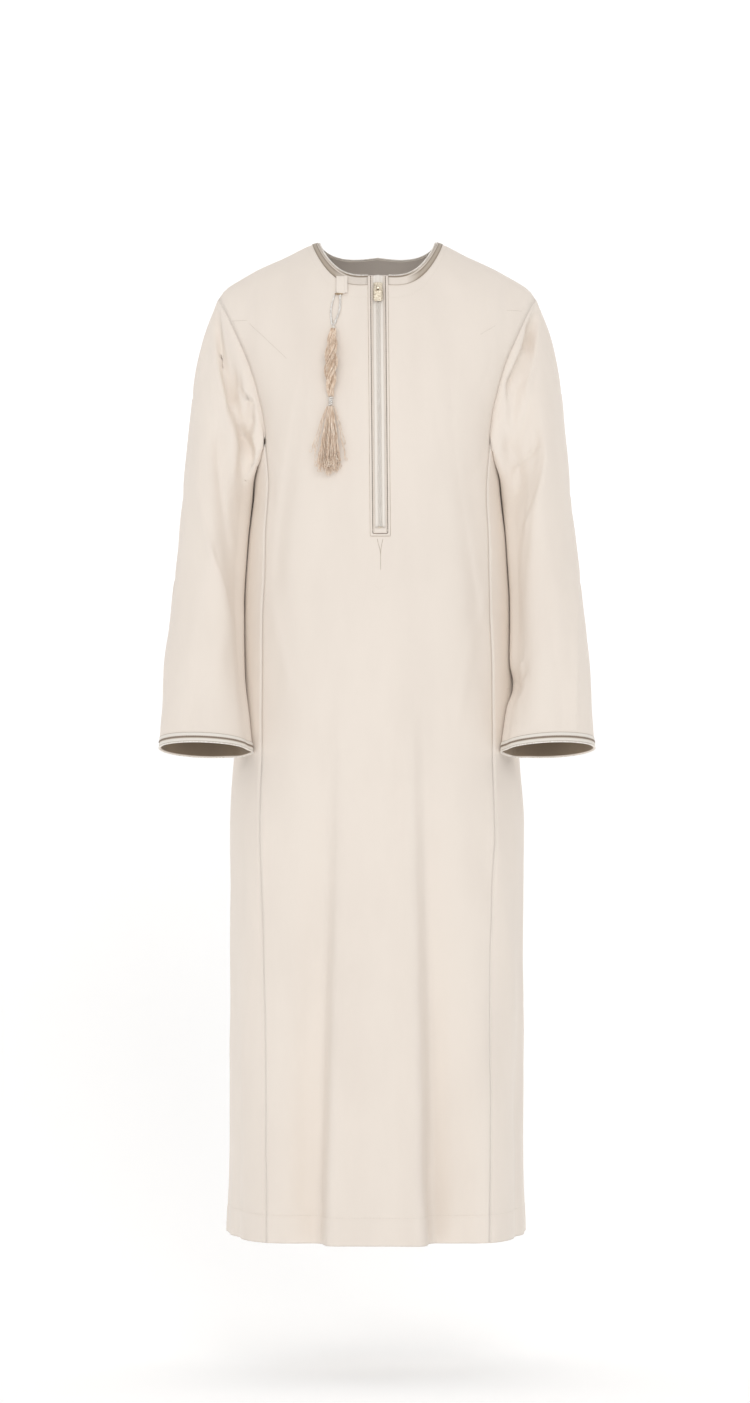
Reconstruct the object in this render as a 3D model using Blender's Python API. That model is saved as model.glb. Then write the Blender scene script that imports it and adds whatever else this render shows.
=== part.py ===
"""A collarless ankle length robe with a zipped placket and a neck tassel, as it hangs when worn.

+Z is up, the front faces -Y and +X is the wearer's left. The origin is the middle of the neck
opening, level with the high points of the shoulders. Lengths are in metres.
The cloth is one outer skin, worked out from sections, which is cut along its seams into panels.
"""
import math

import bmesh
import bpy
import numpy as np
from mathutils import Matrix, Vector
from mathutils.bvhtree import BVHTree

# Cloth and seams
WALL = 0.0018
HEM_WALL = 0.0028
SEAM_GAP = 0.0003
TRIM_WALL = 0.0010

# Lengths of the garment
LENGTH = 1.365
HEM_DEPTH = 0.037
UNDERARM = -0.280
UNDERARM_DIP = 0.018
DIP_RUN = 0.18
NECK_HALF = 0.0815
NECK_FRONT = 0.089
NECK_BACK = 0.062
SHOULDER_HALF = 0.2195
ARMHOLE_CURVE = 1.4

# Roundness of the sections: 2 is an ellipse, more is squarer
GIRTH_ROUND = 2.3
ARC_ROUND = 2.4
NECK_ROUND = 3.0

# Placket and zip
PLACKET_HALF = 0.014
PLACKET_TOP = -0.060
TOP_SHIFT = 0.0012
FOOT_SHIFT = 0.0044
SLIT_SHARE = 0.5
SLIT_FOOT = -0.398
PLACKET_FOOT = -0.410

# Trims
NECK_BAND_WIDTH = 0.0080
NECK_BAND_RUN = 0.0056
PIPING_RADIUS = 0.0012
PIPING_GAP = 0.0004
PIPING_SIDES = 5
CUFF_BAND_WIDTH = 0.0105

# Grid of the panels
NECK_COLUMNS = 9
SHOULDER_COLUMNS = 5
ARC_ROWS = 8
COLUMN_COUNT = NECK_COLUMNS + SHOULDER_COLUMNS
SKIRT_ROWS = 12
SKIRT_FOOT = -1.265
SKIRT_TOP = -0.470
CHEST_ROW = -0.340
NECK_EDGE_ROW = 2.0
SPARE_CELL = 0.1
SIDE_CELLS = 8
RIM_SPLIT = (0.11, 0.37, 1.0)
FLAT_EDGE = math.radians(50)
BOX_EDGE = math.radians(40)


def table(columns, rows):
    """A table as a dictionary from each column's name to its values."""
    return dict(zip(columns.split(), np.array(rows, float).T))


# Sections of the body, from the hem up to the underarm; the seam's share is of the half width
TORSO = table("height half_width front back seam_share", [
    (-1.365, 0.2020, 0.158, 0.150, 0.74),
    (-1.240, 0.2005, 0.152, 0.146, 0.75),
    (-1.080, 0.2000, 0.146, 0.140, 0.76),
    (-0.900, 0.2010, 0.140, 0.133, 0.77),
    (-0.800, 0.2020, 0.137, 0.128, 0.78),
    (-0.700, 0.1960, 0.135, 0.120, 0.80),
    (-0.620, 0.1915, 0.134, 0.114, 0.82),
    (-0.516, 0.1860, 0.133, 0.110, 0.84),
    (-0.410, 0.1785, 0.130, 0.112, 0.86),
    (-0.330, 0.1705, 0.127, 0.116, 0.88),
    (-0.280, 0.1720, 0.124, 0.118, 0.90),
])

# Height of the shoulder line above each place across; inside the neck it is only a guide
SHOULDER = table("across height", [
    (0.0000, 0.0120),
    (0.0815, -0.0010),
    (0.1240, -0.0200),
    (0.1630, -0.0370),
    (0.1900, -0.0525),
    (0.2080, -0.0645),
    (0.2195, -0.0780),
])

# Sections of the left sleeve: the outer and inner points, the middle in depth, the half depth,
# and how much higher the front is than the back
SLEEVE = table("along out_x out_z in_x in_z mid_y half_depth lift", [
    (0.00, 0.2195, -0.078, 0.1720, -0.300, 0.000, 0.066, 0.000),
    (0.12, 0.2410, -0.136, 0.1780, -0.326, 0.002, 0.078, 0.000),
    (0.25, 0.2520, -0.192, 0.1765, -0.350, 0.004, 0.085, 0.000),
    (0.40, 0.2615, -0.272, 0.1785, -0.390, 0.002, 0.085, 0.002),
    (0.55, 0.2705, -0.370, 0.1830, -0.445, -0.008, 0.078, 0.006),
    (0.70, 0.2800, -0.470, 0.1885, -0.505, -0.028, 0.068, 0.010),
    (0.85, 0.2880, -0.575, 0.1870, -0.590, -0.060, 0.056, 0.012),
    (1.00, 0.2955, -0.696, 0.1745, -0.700, -0.095, 0.043, 0.011),
])
SLEEVE_STEPS = (0.0, 0.04, 0.10, 0.17, 0.25, 0.34, 0.43, 0.52, 0.61, 0.70, 0.79, 0.88, 0.945)
SLEEVE_BLEND = 0.35
FOLD_SHARE = 0.10
SLEEVE_LENGTH = 0.640

# The faces that folds are laid on: the axis that runs across each, and its outward direction
FACES = {
    "front": (0, (0.0, -1.0, 0.0)),
    "back": (0, (0.0, 1.0, 0.0)),
    "left": (1, (1.0, 0.0, 0.0)),
    "right": (1, (-1.0, 0.0, 0.0)),
}
FOLD_END = 0.060
FOLD_COLUMNS = "top_across top_z low_across low_z inner_width outer_width top_rise low_rise"

# Folds run from a top place to a low one; a rise below zero is a trough
BODY_FOLDS = {
    "front": table(FOLD_COLUMNS, [
        (-0.062, -0.72, -0.083, -1.40, 0.010, 0.040, -0.002, -0.042),
        (0.060, -0.72, 0.079, -1.40, 0.010, 0.042, -0.002, -0.048),
        (-0.050, -0.70, -0.068, -1.40, 0.020, 0.008, 0.002, 0.009),
        (0.048, -0.70, 0.064, -1.40, 0.020, 0.008, 0.003, 0.012),
        (-0.158, -0.80, -0.190, -1.10, 0.014, 0.014, 0.004, 0.005),
        (0.160, -0.82, 0.194, -1.10, 0.014, 0.014, 0.005, 0.005),
        (0.138, -0.95, 0.156, -1.40, 0.020, 0.020, 0.001, 0.007),
        (-0.106, -0.19, -0.141, -0.44, 0.016, 0.024, -0.003, -0.006),
        (0.108, -0.20, 0.142, -0.50, 0.016, 0.024, -0.003, -0.006),
        (-0.178, -0.086, -0.178, -0.17, 0.012, 0.012, -0.004, -0.002),
        (0.176, -0.076, 0.176, -0.16, 0.012, 0.012, -0.004, -0.002),
        (-0.060, -0.45, -0.030, -0.70, 0.035, 0.035, 0.001, 0.004),
        (0.020, -0.42, 0.045, -0.70, 0.030, 0.030, 0.001, 0.004),
    ]),
    "back": table(FOLD_COLUMNS, [
        (-0.050, -0.60, -0.070, -1.40, 0.016, 0.036, -0.002, -0.030),
        (0.056, -0.62, 0.074, -1.40, 0.016, 0.036, -0.002, -0.034),
        (-0.004, -0.40, 0.006, -1.40, 0.034, 0.034, 0.002, 0.012),
        (-0.120, -0.55, -0.150, -1.20, 0.020, 0.024, 0.003, 0.006),
        (0.122, -0.50, 0.150, -1.25, 0.020, 0.024, 0.003, 0.006),
        (-0.120, -0.12, -0.090, -0.40, 0.022, 0.022, -0.003, -0.005),
        (0.118, -0.13, 0.092, -0.42, 0.022, 0.022, -0.003, -0.005),
    ]),
    "left": table(FOLD_COLUMNS, [
        (0.020, -0.66, 0.036, -1.40, 0.020, 0.028, 0.000, 0.007),
        (-0.040, -0.80, -0.052, -1.40, 0.018, 0.018, 0.000, -0.009),
    ]),
    "right": table(FOLD_COLUMNS, [
        (0.014, -0.68, 0.030, -1.40, 0.020, 0.028, 0.000, 0.008),
        (-0.044, -0.82, -0.056, -1.40, 0.018, 0.018, 0.000, -0.008),
    ]),
}
SLEEVE_FOLDS = {
    "right": {
        "front": table(FOLD_COLUMNS, [
            (-0.219, -0.10, -0.176, -0.27, 0.012, 0.012, -0.010, -0.008),
            (-0.243, -0.31, -0.203, -0.52, 0.010, 0.018, 0.004, 0.007),
            (-0.216, -0.30, -0.194, -0.46, 0.014, 0.010, -0.009, -0.003),
            (-0.232, -0.12, -0.246, -0.26, 0.010, 0.010, -0.003, 0.000),
        ]),
        "back": table(FOLD_COLUMNS, [
            (-0.214, -0.12, -0.182, -0.28, 0.014, 0.014, -0.008, -0.006),
            (-0.250, -0.26, -0.214, -0.40, 0.012, 0.012, -0.005, -0.006),
            (-0.220, -0.46, -0.252, -0.54, 0.012, 0.012, -0.005, -0.005),
        ]),
        "right": table(FOLD_COLUMNS, [
            (0.020, -0.20, -0.020, -0.42, 0.012, 0.012, -0.004, -0.004),
        ]),
    },
    "left": {
        "front": table(FOLD_COLUMNS, [
            (0.214, -0.10, 0.180, -0.24, 0.012, 0.012, -0.011, -0.008),
            (0.205, -0.30, 0.196, -0.36, 0.020, 0.020, -0.012, -0.006),
            (0.229, -0.30, 0.203, -0.52, 0.010, 0.016, 0.005, 0.007),
            (0.196, -0.575, 0.188, -0.62, 0.010, 0.014, -0.007, -0.005),
            (0.273, -0.44, 0.268, -0.66, 0.006, 0.006, 0.003, 0.003),
        ]),
        "back": table(FOLD_COLUMNS, [
            (0.212, -0.12, 0.184, -0.28, 0.014, 0.014, -0.008, -0.006),
            (0.252, -0.28, 0.216, -0.41, 0.012, 0.012, -0.005, -0.006),
            (0.222, -0.47, 0.254, -0.55, 0.012, 0.012, -0.005, -0.005),
        ]),
        "left": table(FOLD_COLUMNS, [
            (0.022, -0.21, -0.018, -0.43, 0.012, 0.012, -0.004, -0.004),
        ]),
    },
}

# Zip slider and its pull tab, in their own frame: across, up the zip, out from the tape
SLIDER = dict(width=0.0124, length=0.0122, thick=0.0026, height=-0.0700, bevel=0.0007)
BRIDGE = dict(width=0.0030, foot=-0.0058, head=0.0022, bar=0.0012, clear=0.0020, sink=0.0008,
              bevel=0.0004)
PULL = dict(width=0.0130, length=0.0200, thick=0.0012, eye_half=0.0022, eye_foot=0.0034,
            pivot_up=-0.0036, pivot_out=0.0010, bevel=0.0004)

# Tassel: what hangs on the front, from the neck edge down
HANG_LIFT = 0.0006
TAB = dict(across=-0.0475, half=0.0075, top=-0.0560, foot=-0.0800, lift=0.0018, thick=0.0018,
           rows=4)
LOOP = dict(radius=0.0012, left=-0.0571, right=-0.0501, foot_across=-0.0590, foot=-0.1225,
            bow=0.0030, foot_half=0.0020, stations=7, bend_stations=5, sides=6)
BEAD = dict(radius=0.0026, across=-0.0590, stations=7, sides=8)
SKEIN = dict(top_across=-0.0590, low_across=-0.0616, foot=-0.2205, radius=0.0088, lobe=0.28,
             turns=1.3, lobes=3, end_share=0.45, fullness=1.2, lift_run=0.35, stations=16, sides=15)
BINDING = dict(radius=0.0030, height=0.0130, sides=10)
FRINGE = dict(across=-0.0640, foot=-0.3270, head_radius=0.0034, head_height=0.0040,
              spread_across=0.0185, spread_out=0.0046, cells=6, drops=3, gap_share=0.16,
              flare=0.85, foot_lift=0.0032)

# Colour, roughness and metallic value of each material
MATERIALS = {
    "robe_cloth": ((0.80, 0.73, 0.66, 1.0), 0.85, 0.0),
    "trim_taupe": ((0.42, 0.35, 0.28, 1.0), 0.80, 0.0),
    "piping_pale": ((0.82, 0.77, 0.70, 1.0), 0.60, 0.0),
    "silver_thread": ((0.75, 0.73, 0.70, 1.0), 0.35, 0.3),
    "tassel_floss": ((0.55, 0.42, 0.31, 1.0), 0.60, 0.0),
    "zip_metal": ((0.78, 0.69, 0.55, 1.0), 0.30, 1.0),
    "zip_cloth": ((0.78, 0.74, 0.69, 1.0), 0.80, 0.0),
}


def smooth(at, places, values):
    """A curve through the points, cubic between them, which never overshoots them."""
    slope = np.diff(values) / np.diff(places)
    turn = slope[1:] * slope[:-1]
    inner = np.where(turn > 0, 2 * turn / np.where(turn > 0, slope[1:] + slope[:-1], 1), 0)
    tangent = np.concatenate([slope[:1], inner, slope[-1:]])
    index = np.clip(np.searchsorted(places, at) - 1, 0, len(places) - 2)
    step = places[index + 1] - places[index]
    part = np.clip((at - places[index]) / step, 0, 1)
    start = (1 + 2 * part) * (1 - part) ** 2 * values[index]
    end = part ** 2 * (3 - 2 * part) * values[index + 1]
    leave = part * (1 - part) ** 2 * step * tangent[index]
    arrive = part ** 2 * (part - 1) * step * tangent[index + 1]
    return start + end + leave + arrive


def torso(name, height):
    """A named value of the body's sections at the given heights."""
    return smooth(height, TORSO["height"], TORSO[name])


def ease(part):
    """A smooth step from 0 to 1."""
    part = np.clip(part, 0, 1)
    return part * part * (3 - 2 * part)


def neck_line(columns, half, run):
    """Plan of a curve round the neck at the given columns: how far across and how deep it is.
    Its half width lies across and its run lies in depth; the last neck column is at its side."""
    reach = np.clip((np.abs(columns) - 1) * COLUMN_COUNT / NECK_COLUMNS, 0, 1)
    even = NECK_ROUND / 2
    start = math.asin((PLACKET_HALF / half) ** even) / (math.pi / 2)
    first = (start / (1 - start)) ** (1 / even)
    first = first / (1 + first)
    part = first + (1 - first) * reach
    turn = math.pi / 2 * part ** even / (part ** even + (1 - part) ** even)
    across = half * np.sin(turn) ** (1 / even)
    across = np.where(np.abs(columns) < 1, np.abs(columns) * PLACKET_HALF, across)
    return across, run * np.clip(1 - (across / half) ** NECK_ROUND, 0, 1) ** (1 / NECK_ROUND)


class Cap:
    """The arc of the front or the back, from underarm level over to the shoulder line. Its
    share runs from the middle to the armhole and its turn from upright to the shoulder line."""

    def __init__(self, face):
        self.sign = -1 if face == "front" else 1
        self.depth = float(torso(face, np.array(UNDERARM)))
        self.seam_share = float(torso("seam_share", np.array(UNDERARM)))
        self.seam = self.seam_share * float(torso("half_width", np.array(UNDERARM)))

    def half(self, turn):
        """Half width at the armhole."""
        rise = np.sin(turn) ** ARMHOLE_CURVE
        return self.seam + (SHOULDER_HALF - self.seam) * rise

    def depth_at(self, share):
        """Depth at underarm level."""
        return self.depth * (1 - (share * self.seam_share) ** GIRTH_ROUND) ** (1 / GIRTH_ROUND)

    def place(self, share, turn):
        """Points of the arc, right of the middle."""
        ridge = smooth(share * SHOULDER_HALF, SHOULDER["across"], SHOULDER["height"])
        y = self.sign * self.depth_at(share) * np.cos(turn) ** (2 / ARC_ROUND)
        z = UNDERARM + (ridge - UNDERARM) * np.sin(turn) ** (2 / ARC_ROUND)
        return np.stack(np.broadcast_arrays(share * self.half(turn), y, z), axis=-1)

    def find(self, across, deep):
        """The share and the turn of places given in plan, by repeated correction."""
        share = across / SHOULDER_HALF
        for _ in range(12):
            turn = np.arccos(np.clip(deep / self.depth_at(share), 0, 1) ** (ARC_ROUND / 2))
            share = across / self.half(turn)
        return share, turn


def placket_shift(height):
    """How far to the wearer's left the placket's middle is at the given heights."""
    part = np.clip((PLACKET_TOP - height) / (PLACKET_TOP - PLACKET_FOOT), 0, 1)
    return TOP_SHIFT + (FOOT_SHIFT - TOP_SHIFT) * part


def panel_skin(face, columns, rows):
    """Points of the front or back. A column is up to 1 on the placket and 2 at the side seam;
    a row is the height from the underarm where it is below it, and a share of the arc above.
    The last row is the neck edge, which only the neck's columns reach."""
    reach = np.clip(np.abs(columns) - 1, 0, 1)
    level = UNDERARM + np.minimum(rows, 0)[:, None]
    half, depth = torso("half_width", level), torso(face, level)
    seam = half * torso("seam_share", level)
    across = PLACKET_HALF * np.minimum(np.abs(columns), 1) + (seam - PLACKET_HALF) * reach
    deep = depth * (1 - (across / half) ** GIRTH_ROUND) ** (1 / GIRTH_ROUND)
    sign = -1 if face == "front" else 1
    points = np.stack(np.broadcast_arrays(across, sign * deep, level), axis=-1)

    cap = Cap(face)
    run = NECK_FRONT if face == "front" else NECK_BACK
    neck_reach = NECK_COLUMNS / COLUMN_COUNT
    on_neck = reach <= neck_reach
    line = neck_line(columns, NECK_HALF + NECK_BAND_WIDTH, run + NECK_BAND_RUN)
    share, turn = cap.find(*line)
    edge = (NECK_HALF + NECK_BAND_WIDTH) / SHOULDER_HALF
    shoulder = edge + (1 - edge) * np.clip((reach - neck_reach) / (1 - neck_reach), 0, 1)
    share = np.where(on_neck, share, shoulder)
    turn = np.where(on_neck, turn, math.pi / 2)
    rise = np.clip(rows, 0, 1)[:, None]
    corner = np.where(on_neck, reach / neck_reach, (1 - reach) / (1 - neck_reach)) / 2
    turns = turn * (rise + corner * (np.sin(rise * math.pi / 2) - rise))
    low_share = across[-1] / cap.seam
    shares = low_share + (share - low_share) * rise ** (1 + 2 * corner)
    straight = np.abs(columns) <= 1
    shares = np.where(straight, PLACKET_HALF * np.abs(columns) / cap.half(turns), shares)
    points = np.where(rows[:, None, None] > 0, cap.place(shares, turns), points)
    neck = cap.place(*cap.find(*neck_line(columns, NECK_HALF, run)))
    beyond = points[-2] + (points[-2] - points[-3]) * SPARE_CELL
    points[-1] = np.where(on_neck[:, None], neck, beyond)
    shift = placket_shift(points[..., 2]) * (1 - reach)
    points[..., 0] = points[..., 0] * np.sign(columns) + shift
    return points


def side_skin(side, columns, rows):
    """Points of a side panel, from its front seam to its back seam, turned to face outwards."""
    level = UNDERARM + rows[:, None]
    half = torso("half_width", level)
    start = np.arccos(torso("seam_share", level) ** (GIRTH_ROUND / 2))
    turn = (2 * columns - 1) * start
    depth = np.where(turn < 0, torso("front", level), torso("back", level))
    x = side * half * np.cos(turn) ** (2 / GIRTH_ROUND)
    y = np.sign(turn) * depth * np.abs(np.sin(turn)) ** (2 / GIRTH_ROUND)
    dip = UNDERARM_DIP * ease(1 + rows[:, None] / DIP_RUN)
    z = level - dip * (1 - (turn / start) ** 2)
    points = np.stack([x, y, z], axis=-1)
    return points if side > 0 else points[:, ::-1]


def fold_rise(points, normals, folds):
    """How far the folds of a set move each point out along its normal."""
    total = np.zeros(points.shape[:-1])
    for face, rows in folds.items():
        axis, outward = FACES[face]
        weight = np.clip(normals @ np.array(outward), 0, 1)
        across, height = points[..., axis], points[..., 2]
        for values in zip(*rows.values()):
            fold = dict(zip(rows, values))
            part = np.clip((fold["top_z"] - height) / (fold["top_z"] - fold["low_z"]), 0, 1)
            path = fold["top_across"] + (fold["low_across"] - fold["top_across"]) * part
            off = (across - path) * np.sign(path)
            width = np.where(off < 0, fold["inner_width"], fold["outer_width"])
            past = np.maximum(np.maximum(height - fold["top_z"], fold["low_z"] - height), 0)
            rise = fold["top_rise"] + (fold["low_rise"] - fold["top_rise"]) * part
            bump = np.exp(-(off / width) ** 2) * np.exp(-(past / FOLD_END) ** 2)
            total = total + weight * rise * bump
    return total


class Piece:
    """A piece of cloth as a grid of points on its outer face, whose columns and rows run so that
    it faces out. Cells that are not kept are open, and a closed grid joins up round a tube."""

    def __init__(self, points, keep=None, closed=False):
        self.points = points
        self.closed = closed
        rows, columns = points.shape[:2]
        index = np.arange(rows * columns).reshape(rows, columns)
        if closed:
            index = np.concatenate([index, index[:, :1]], axis=1)
        self.keep = np.ones((index.shape[0] - 1, index.shape[1] - 1), bool) if keep is None else keep
        corners = (index[:-1, :-1], index[:-1, 1:], index[1:, 1:], index[1:, :-1])
        a, b, c, d = (corner[self.keep] for corner in corners)
        self.faces = np.concatenate([np.stack([a, b, c], 1), np.stack([a, c, d], 1)])
        self.normals = shared_normals([self])[0]


def shared_normals(pieces, apart=()):
    """Outward normals of several pieces, the same wherever their points meet. The first row of
    each piece numbered in apart keeps its own in the given columns."""
    keys, places, faces, first = [], [], [], 0
    for piece in pieces:
        keys.append(piece.points.copy())
        places.append(piece.points.reshape(-1, 3))
        faces.append(piece.faces + first)
        first += len(places[-1])
    for number, columns in apart:
        keys[number][0, columns, 0] += number
    keys = np.concatenate([key.reshape(-1, 3) for key in keys])
    places, faces = np.concatenate(places), np.concatenate(faces)
    group = np.unique(np.round(keys, 6), axis=0, return_inverse=True)[1].ravel()
    corner = places[faces]
    leaning = np.cross(corner[:, 1] - corner[:, 0], corner[:, 2] - corner[:, 0])
    summed = np.zeros((group.max() + 1, 3))
    for k in range(3):
        np.add.at(summed, group[faces[:, k]], leaning)
    length = np.linalg.norm(summed, axis=1, keepdims=True)
    flat = (summed / np.where(length > 0, length, 1))[group]
    cuts = np.cumsum([piece.points.shape[0] * piece.points.shape[1] for piece in pieces])[:-1]
    return [part.reshape(piece.points.shape) for part, piece in zip(np.split(flat, cuts), pieces)]


def sleeve_section(along, around):
    """Points of the left sleeve's sections; 90 degrees is outwards and 0 is the front."""
    value = {name: smooth(along, SLEEVE["along"], SLEEVE[name]) for name in SLEEVE}
    sine, cosine = np.sin(around), np.cos(around)
    x = (value["out_x"] + value["in_x"]) / 2 + (value["out_x"] - value["in_x"]) / 2 * sine
    y = value["mid_y"] - value["half_depth"] * cosine
    z = (value["out_z"] + value["in_z"]) / 2 + (value["out_z"] - value["in_z"]) / 2 * sine
    return np.stack([x, y, z + value["lift"] * cosine], axis=-1)


def sleeve_skin(side, loop, steps):
    """Points of a sleeve, from the armhole's loop to the cuff. The loop starts at the shoulder
    point and goes down the front, under the arm and up the back."""
    lengths = np.linalg.norm(np.diff(np.concatenate([loop, loop[:1]]), axis=0), axis=1)
    travelled = np.concatenate([[0], np.cumsum(lengths)])
    lowest = travelled[np.argmin(loop[:, 2])]
    corners = [0, lowest, travelled[-1]]
    around = np.interp(travelled[:-1], corners, np.radians([90, -90, -270]))
    mirror = np.array([side, 1, 1])
    rings = sleeve_section(steps[:, None], around[None, :]) * mirror
    start = (loop - rings[0]) * (1 - ease(steps / SLEEVE_BLEND))[:, None, None]
    points = rings + start
    return points if side > 0 else points[:, ::-1]


def wall(name, piece, out, thick, material, pull=SEAM_GAP / 2):
    """A closed wall on a piece of cloth: its outer face stands out from the points, its inner
    face lies its thickness below. Its edges are drawn in, so that neighbours keep a gap."""
    places, normals = piece.points.reshape(-1, 3), piece.normals.reshape(-1, 3)
    outer, shift = piece.faces, len(places)
    edges = np.concatenate([outer[:, [0, 1]], outer[:, [1, 2]], outer[:, [2, 0]]])
    known = set(map(tuple, edges.tolist()))
    rim = np.array([edge for edge in edges.tolist() if (edge[1], edge[0]) not in known])
    places = draw_in(places, normals, rim, pull)
    thick = np.broadcast_to(np.asarray(thick, float), piece.points.shape[:1])
    thick = np.repeat(thick, piece.points.shape[1])[:, None]
    places = np.concatenate([places + normals * out, places + normals * (out - thick)])
    faces = np.concatenate([outer, outer[:, ::-1] + shift,
                            rim_faces(places, rim[:, 0], rim[:, 1], shift)])
    used, faces = np.unique(faces, return_inverse=True)
    return add_mesh(name, places[used], faces.reshape(-1, 3), material)


def rim_faces(places, start, end, shift):
    """Faces along a wall's rim. Each is split from its higher outer corner, so that the rims of
    two neighbours, which twist alike, are split alike."""
    higher = ((places[start] - places[end]) @ np.array(RIM_SPLIT) > 0)[:, None]
    from_start = np.stack([end, start, end + shift, start, start + shift, end + shift], 1)
    from_end = np.stack([end, start, start + shift, end, start + shift, end + shift], 1)
    return np.where(higher, from_start, from_end).reshape(-1, 3)


def draw_in(places, normals, rim, pull):
    """Move the points along a rim in by the pull, square to the edges that meet at each."""
    start, end = rim[:, 0], rim[:, 1]
    square = np.cross(normals[start] + normals[end], places[end] - places[start])
    square /= np.linalg.norm(square, axis=1, keepdims=True)
    leaving, arriving = np.zeros_like(places), np.zeros_like(places)
    leaving[start], arriving[end] = square, square
    along = np.sum(leaving * arriving, axis=1, keepdims=True)
    return places + (leaving + arriving) / (1 + along) * pull


def add_mesh(name, places, faces, material):
    """Add a mesh object with a material, shaded smooth except at its sharp edges."""
    mesh = bpy.data.meshes.new(name)
    mesh.from_pydata(np.asarray(places).tolist(), [], np.asarray(faces).tolist())
    mesh.update()
    mesh.shade_smooth()
    mesh.set_sharp_from_angle(angle=FLAT_EDGE)
    made = bpy.data.objects.new(name, mesh)
    made.data.materials.append(bpy.data.materials[material])
    bpy.context.scene.collection.objects.link(made)
    return made


def tube(name, path, radii, sides, material, shape=None):
    """A closed tube along a path that isn't closed, with flat ends. The shape gives the radius
    as a share, from the station's number and the angle around it."""
    path = np.asarray(path, float)
    tangent = np.gradient(path, axis=0)
    tangent /= np.linalg.norm(tangent, axis=1, keepdims=True)
    first = np.cross(tangent, (0.0, 1.0, 0.0))
    first /= np.linalg.norm(first, axis=1, keepdims=True)
    second = np.cross(tangent, first)
    angle = np.linspace(0, 2 * math.pi, sides, endpoint=False)
    station = np.arange(len(path))[:, None]
    radius = np.broadcast_to(np.asarray(radii, float), (len(path),))[:, None]
    radius = radius * (shape(station, angle) if shape else np.ones((1, sides)))
    points = (path[:, None] + radius[..., None] * (np.cos(angle)[:, None] * first[:, None]
                                                   + np.sin(angle)[:, None] * second[:, None]))
    return lofted(name, points, material)


def lofted(name, rings, material):
    """A closed solid through a row of rings, with a fan at each end."""
    count, sides = rings.shape[:2]
    index = np.arange(count * sides).reshape(count, sides)
    index = np.concatenate([index, index[:, :1]], axis=1)
    a, b, c, d = index[:-1, :-1], index[:-1, 1:], index[1:, 1:], index[1:, :-1]
    skin = np.concatenate([np.stack([a, b, c], -1).reshape(-1, 3),
                           np.stack([a, c, d], -1).reshape(-1, 3)])
    ends = count * sides + np.arange(2)
    caps = []
    for ring, centre, order in ((index[0], ends[0], (0, 2, 1)), (index[-1], ends[1], (0, 1, 2))):
        fan = np.stack([np.full(sides, centre), ring[:-1], ring[1:]], 1)
        caps.append(fan[:, order])
    faces = np.concatenate([skin] + caps)
    places = np.concatenate([rings.reshape(-1, 3), [rings[0].mean(0), rings[-1].mean(0)]])
    made = add_mesh(name, places, faces, material)
    face_outwards(made)
    return made


def face_outwards(made):
    """Turn a closed mesh's faces to point out."""
    work = bmesh.new()
    work.from_mesh(made.data)
    bmesh.ops.recalc_face_normals(work, faces=work.faces)
    work.to_mesh(made.data)
    work.free()


def folded(pieces, folds):
    """The pieces with a set of folds laid on them."""
    normals = shared_normals(pieces)
    return [Piece(piece.points + normal * fold_rise(piece.points, normal, folds)[..., None],
                  piece.keep, piece.closed) for piece, normal in zip(pieces, normals)]


def armhole_loop(front, back, side_panel, side):
    """Points around an armhole: down the front edge, under the arm and up the back edge."""
    front_edge = front[-ARC_ROWS - 2:-1, -1 if side > 0 else 0][::-1]
    back_edge = back[-ARC_ROWS - 2:-1, 0 if side > 0 else -1]
    under = side_panel[-1] if side > 0 else side_panel[-1, ::-1]
    return np.concatenate([front_edge[:-1], under[:-1], back_edge[:-1]])


def sleeve_piece(side, loop, steps):
    """A sleeve with its folds, which grow from nothing at the armhole and end at the cuff."""
    plain = Piece(sleeve_skin(side, loop, steps), closed=True)
    rise = fold_rise(plain.points, plain.normals, SLEEVE_FOLDS["left" if side > 0 else "right"])
    share = ease(steps / FOLD_SHARE) * ease((1 - steps) / FOLD_SHARE)
    return Piece(plain.points + plain.normals * (rise * share[:, None])[..., None], closed=True)


class Skin:
    """The outer faces of the body's cloth, for what lies or hangs on them."""

    def __init__(self, pieces):
        places, faces, first = [], [], 0
        for piece in pieces:
            places += piece.points.reshape(-1, 3).tolist()
            faces += (piece.faces + first).tolist()
            first = len(places)
        self.tree = BVHTree.FromPolygons(places, faces)

    def front(self, across, height, lift=0.0):
        """The point of the front at a place across and a height, moved out, and its normal."""
        place, normal, _, _ = self.tree.ray_cast(Vector((across, -1.0, height)), Vector((0, 1, 0)))
        return np.array(place + normal * lift), np.array(normal)


def neck_rows(front, back, row):
    """A row of the front and back round the neck, from one side of the placket to the other."""
    middle = front.shape[1] // 2
    left = slice(middle + 1, middle + 2 + NECK_COLUMNS)
    right = slice(middle - 2 - NECK_COLUMNS, middle - 1)
    behind = slice(middle - 1 - NECK_COLUMNS, middle + 1 + NECK_COLUMNS)
    return np.concatenate([front[row, left], back[row, behind], front[row, right]])


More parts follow.
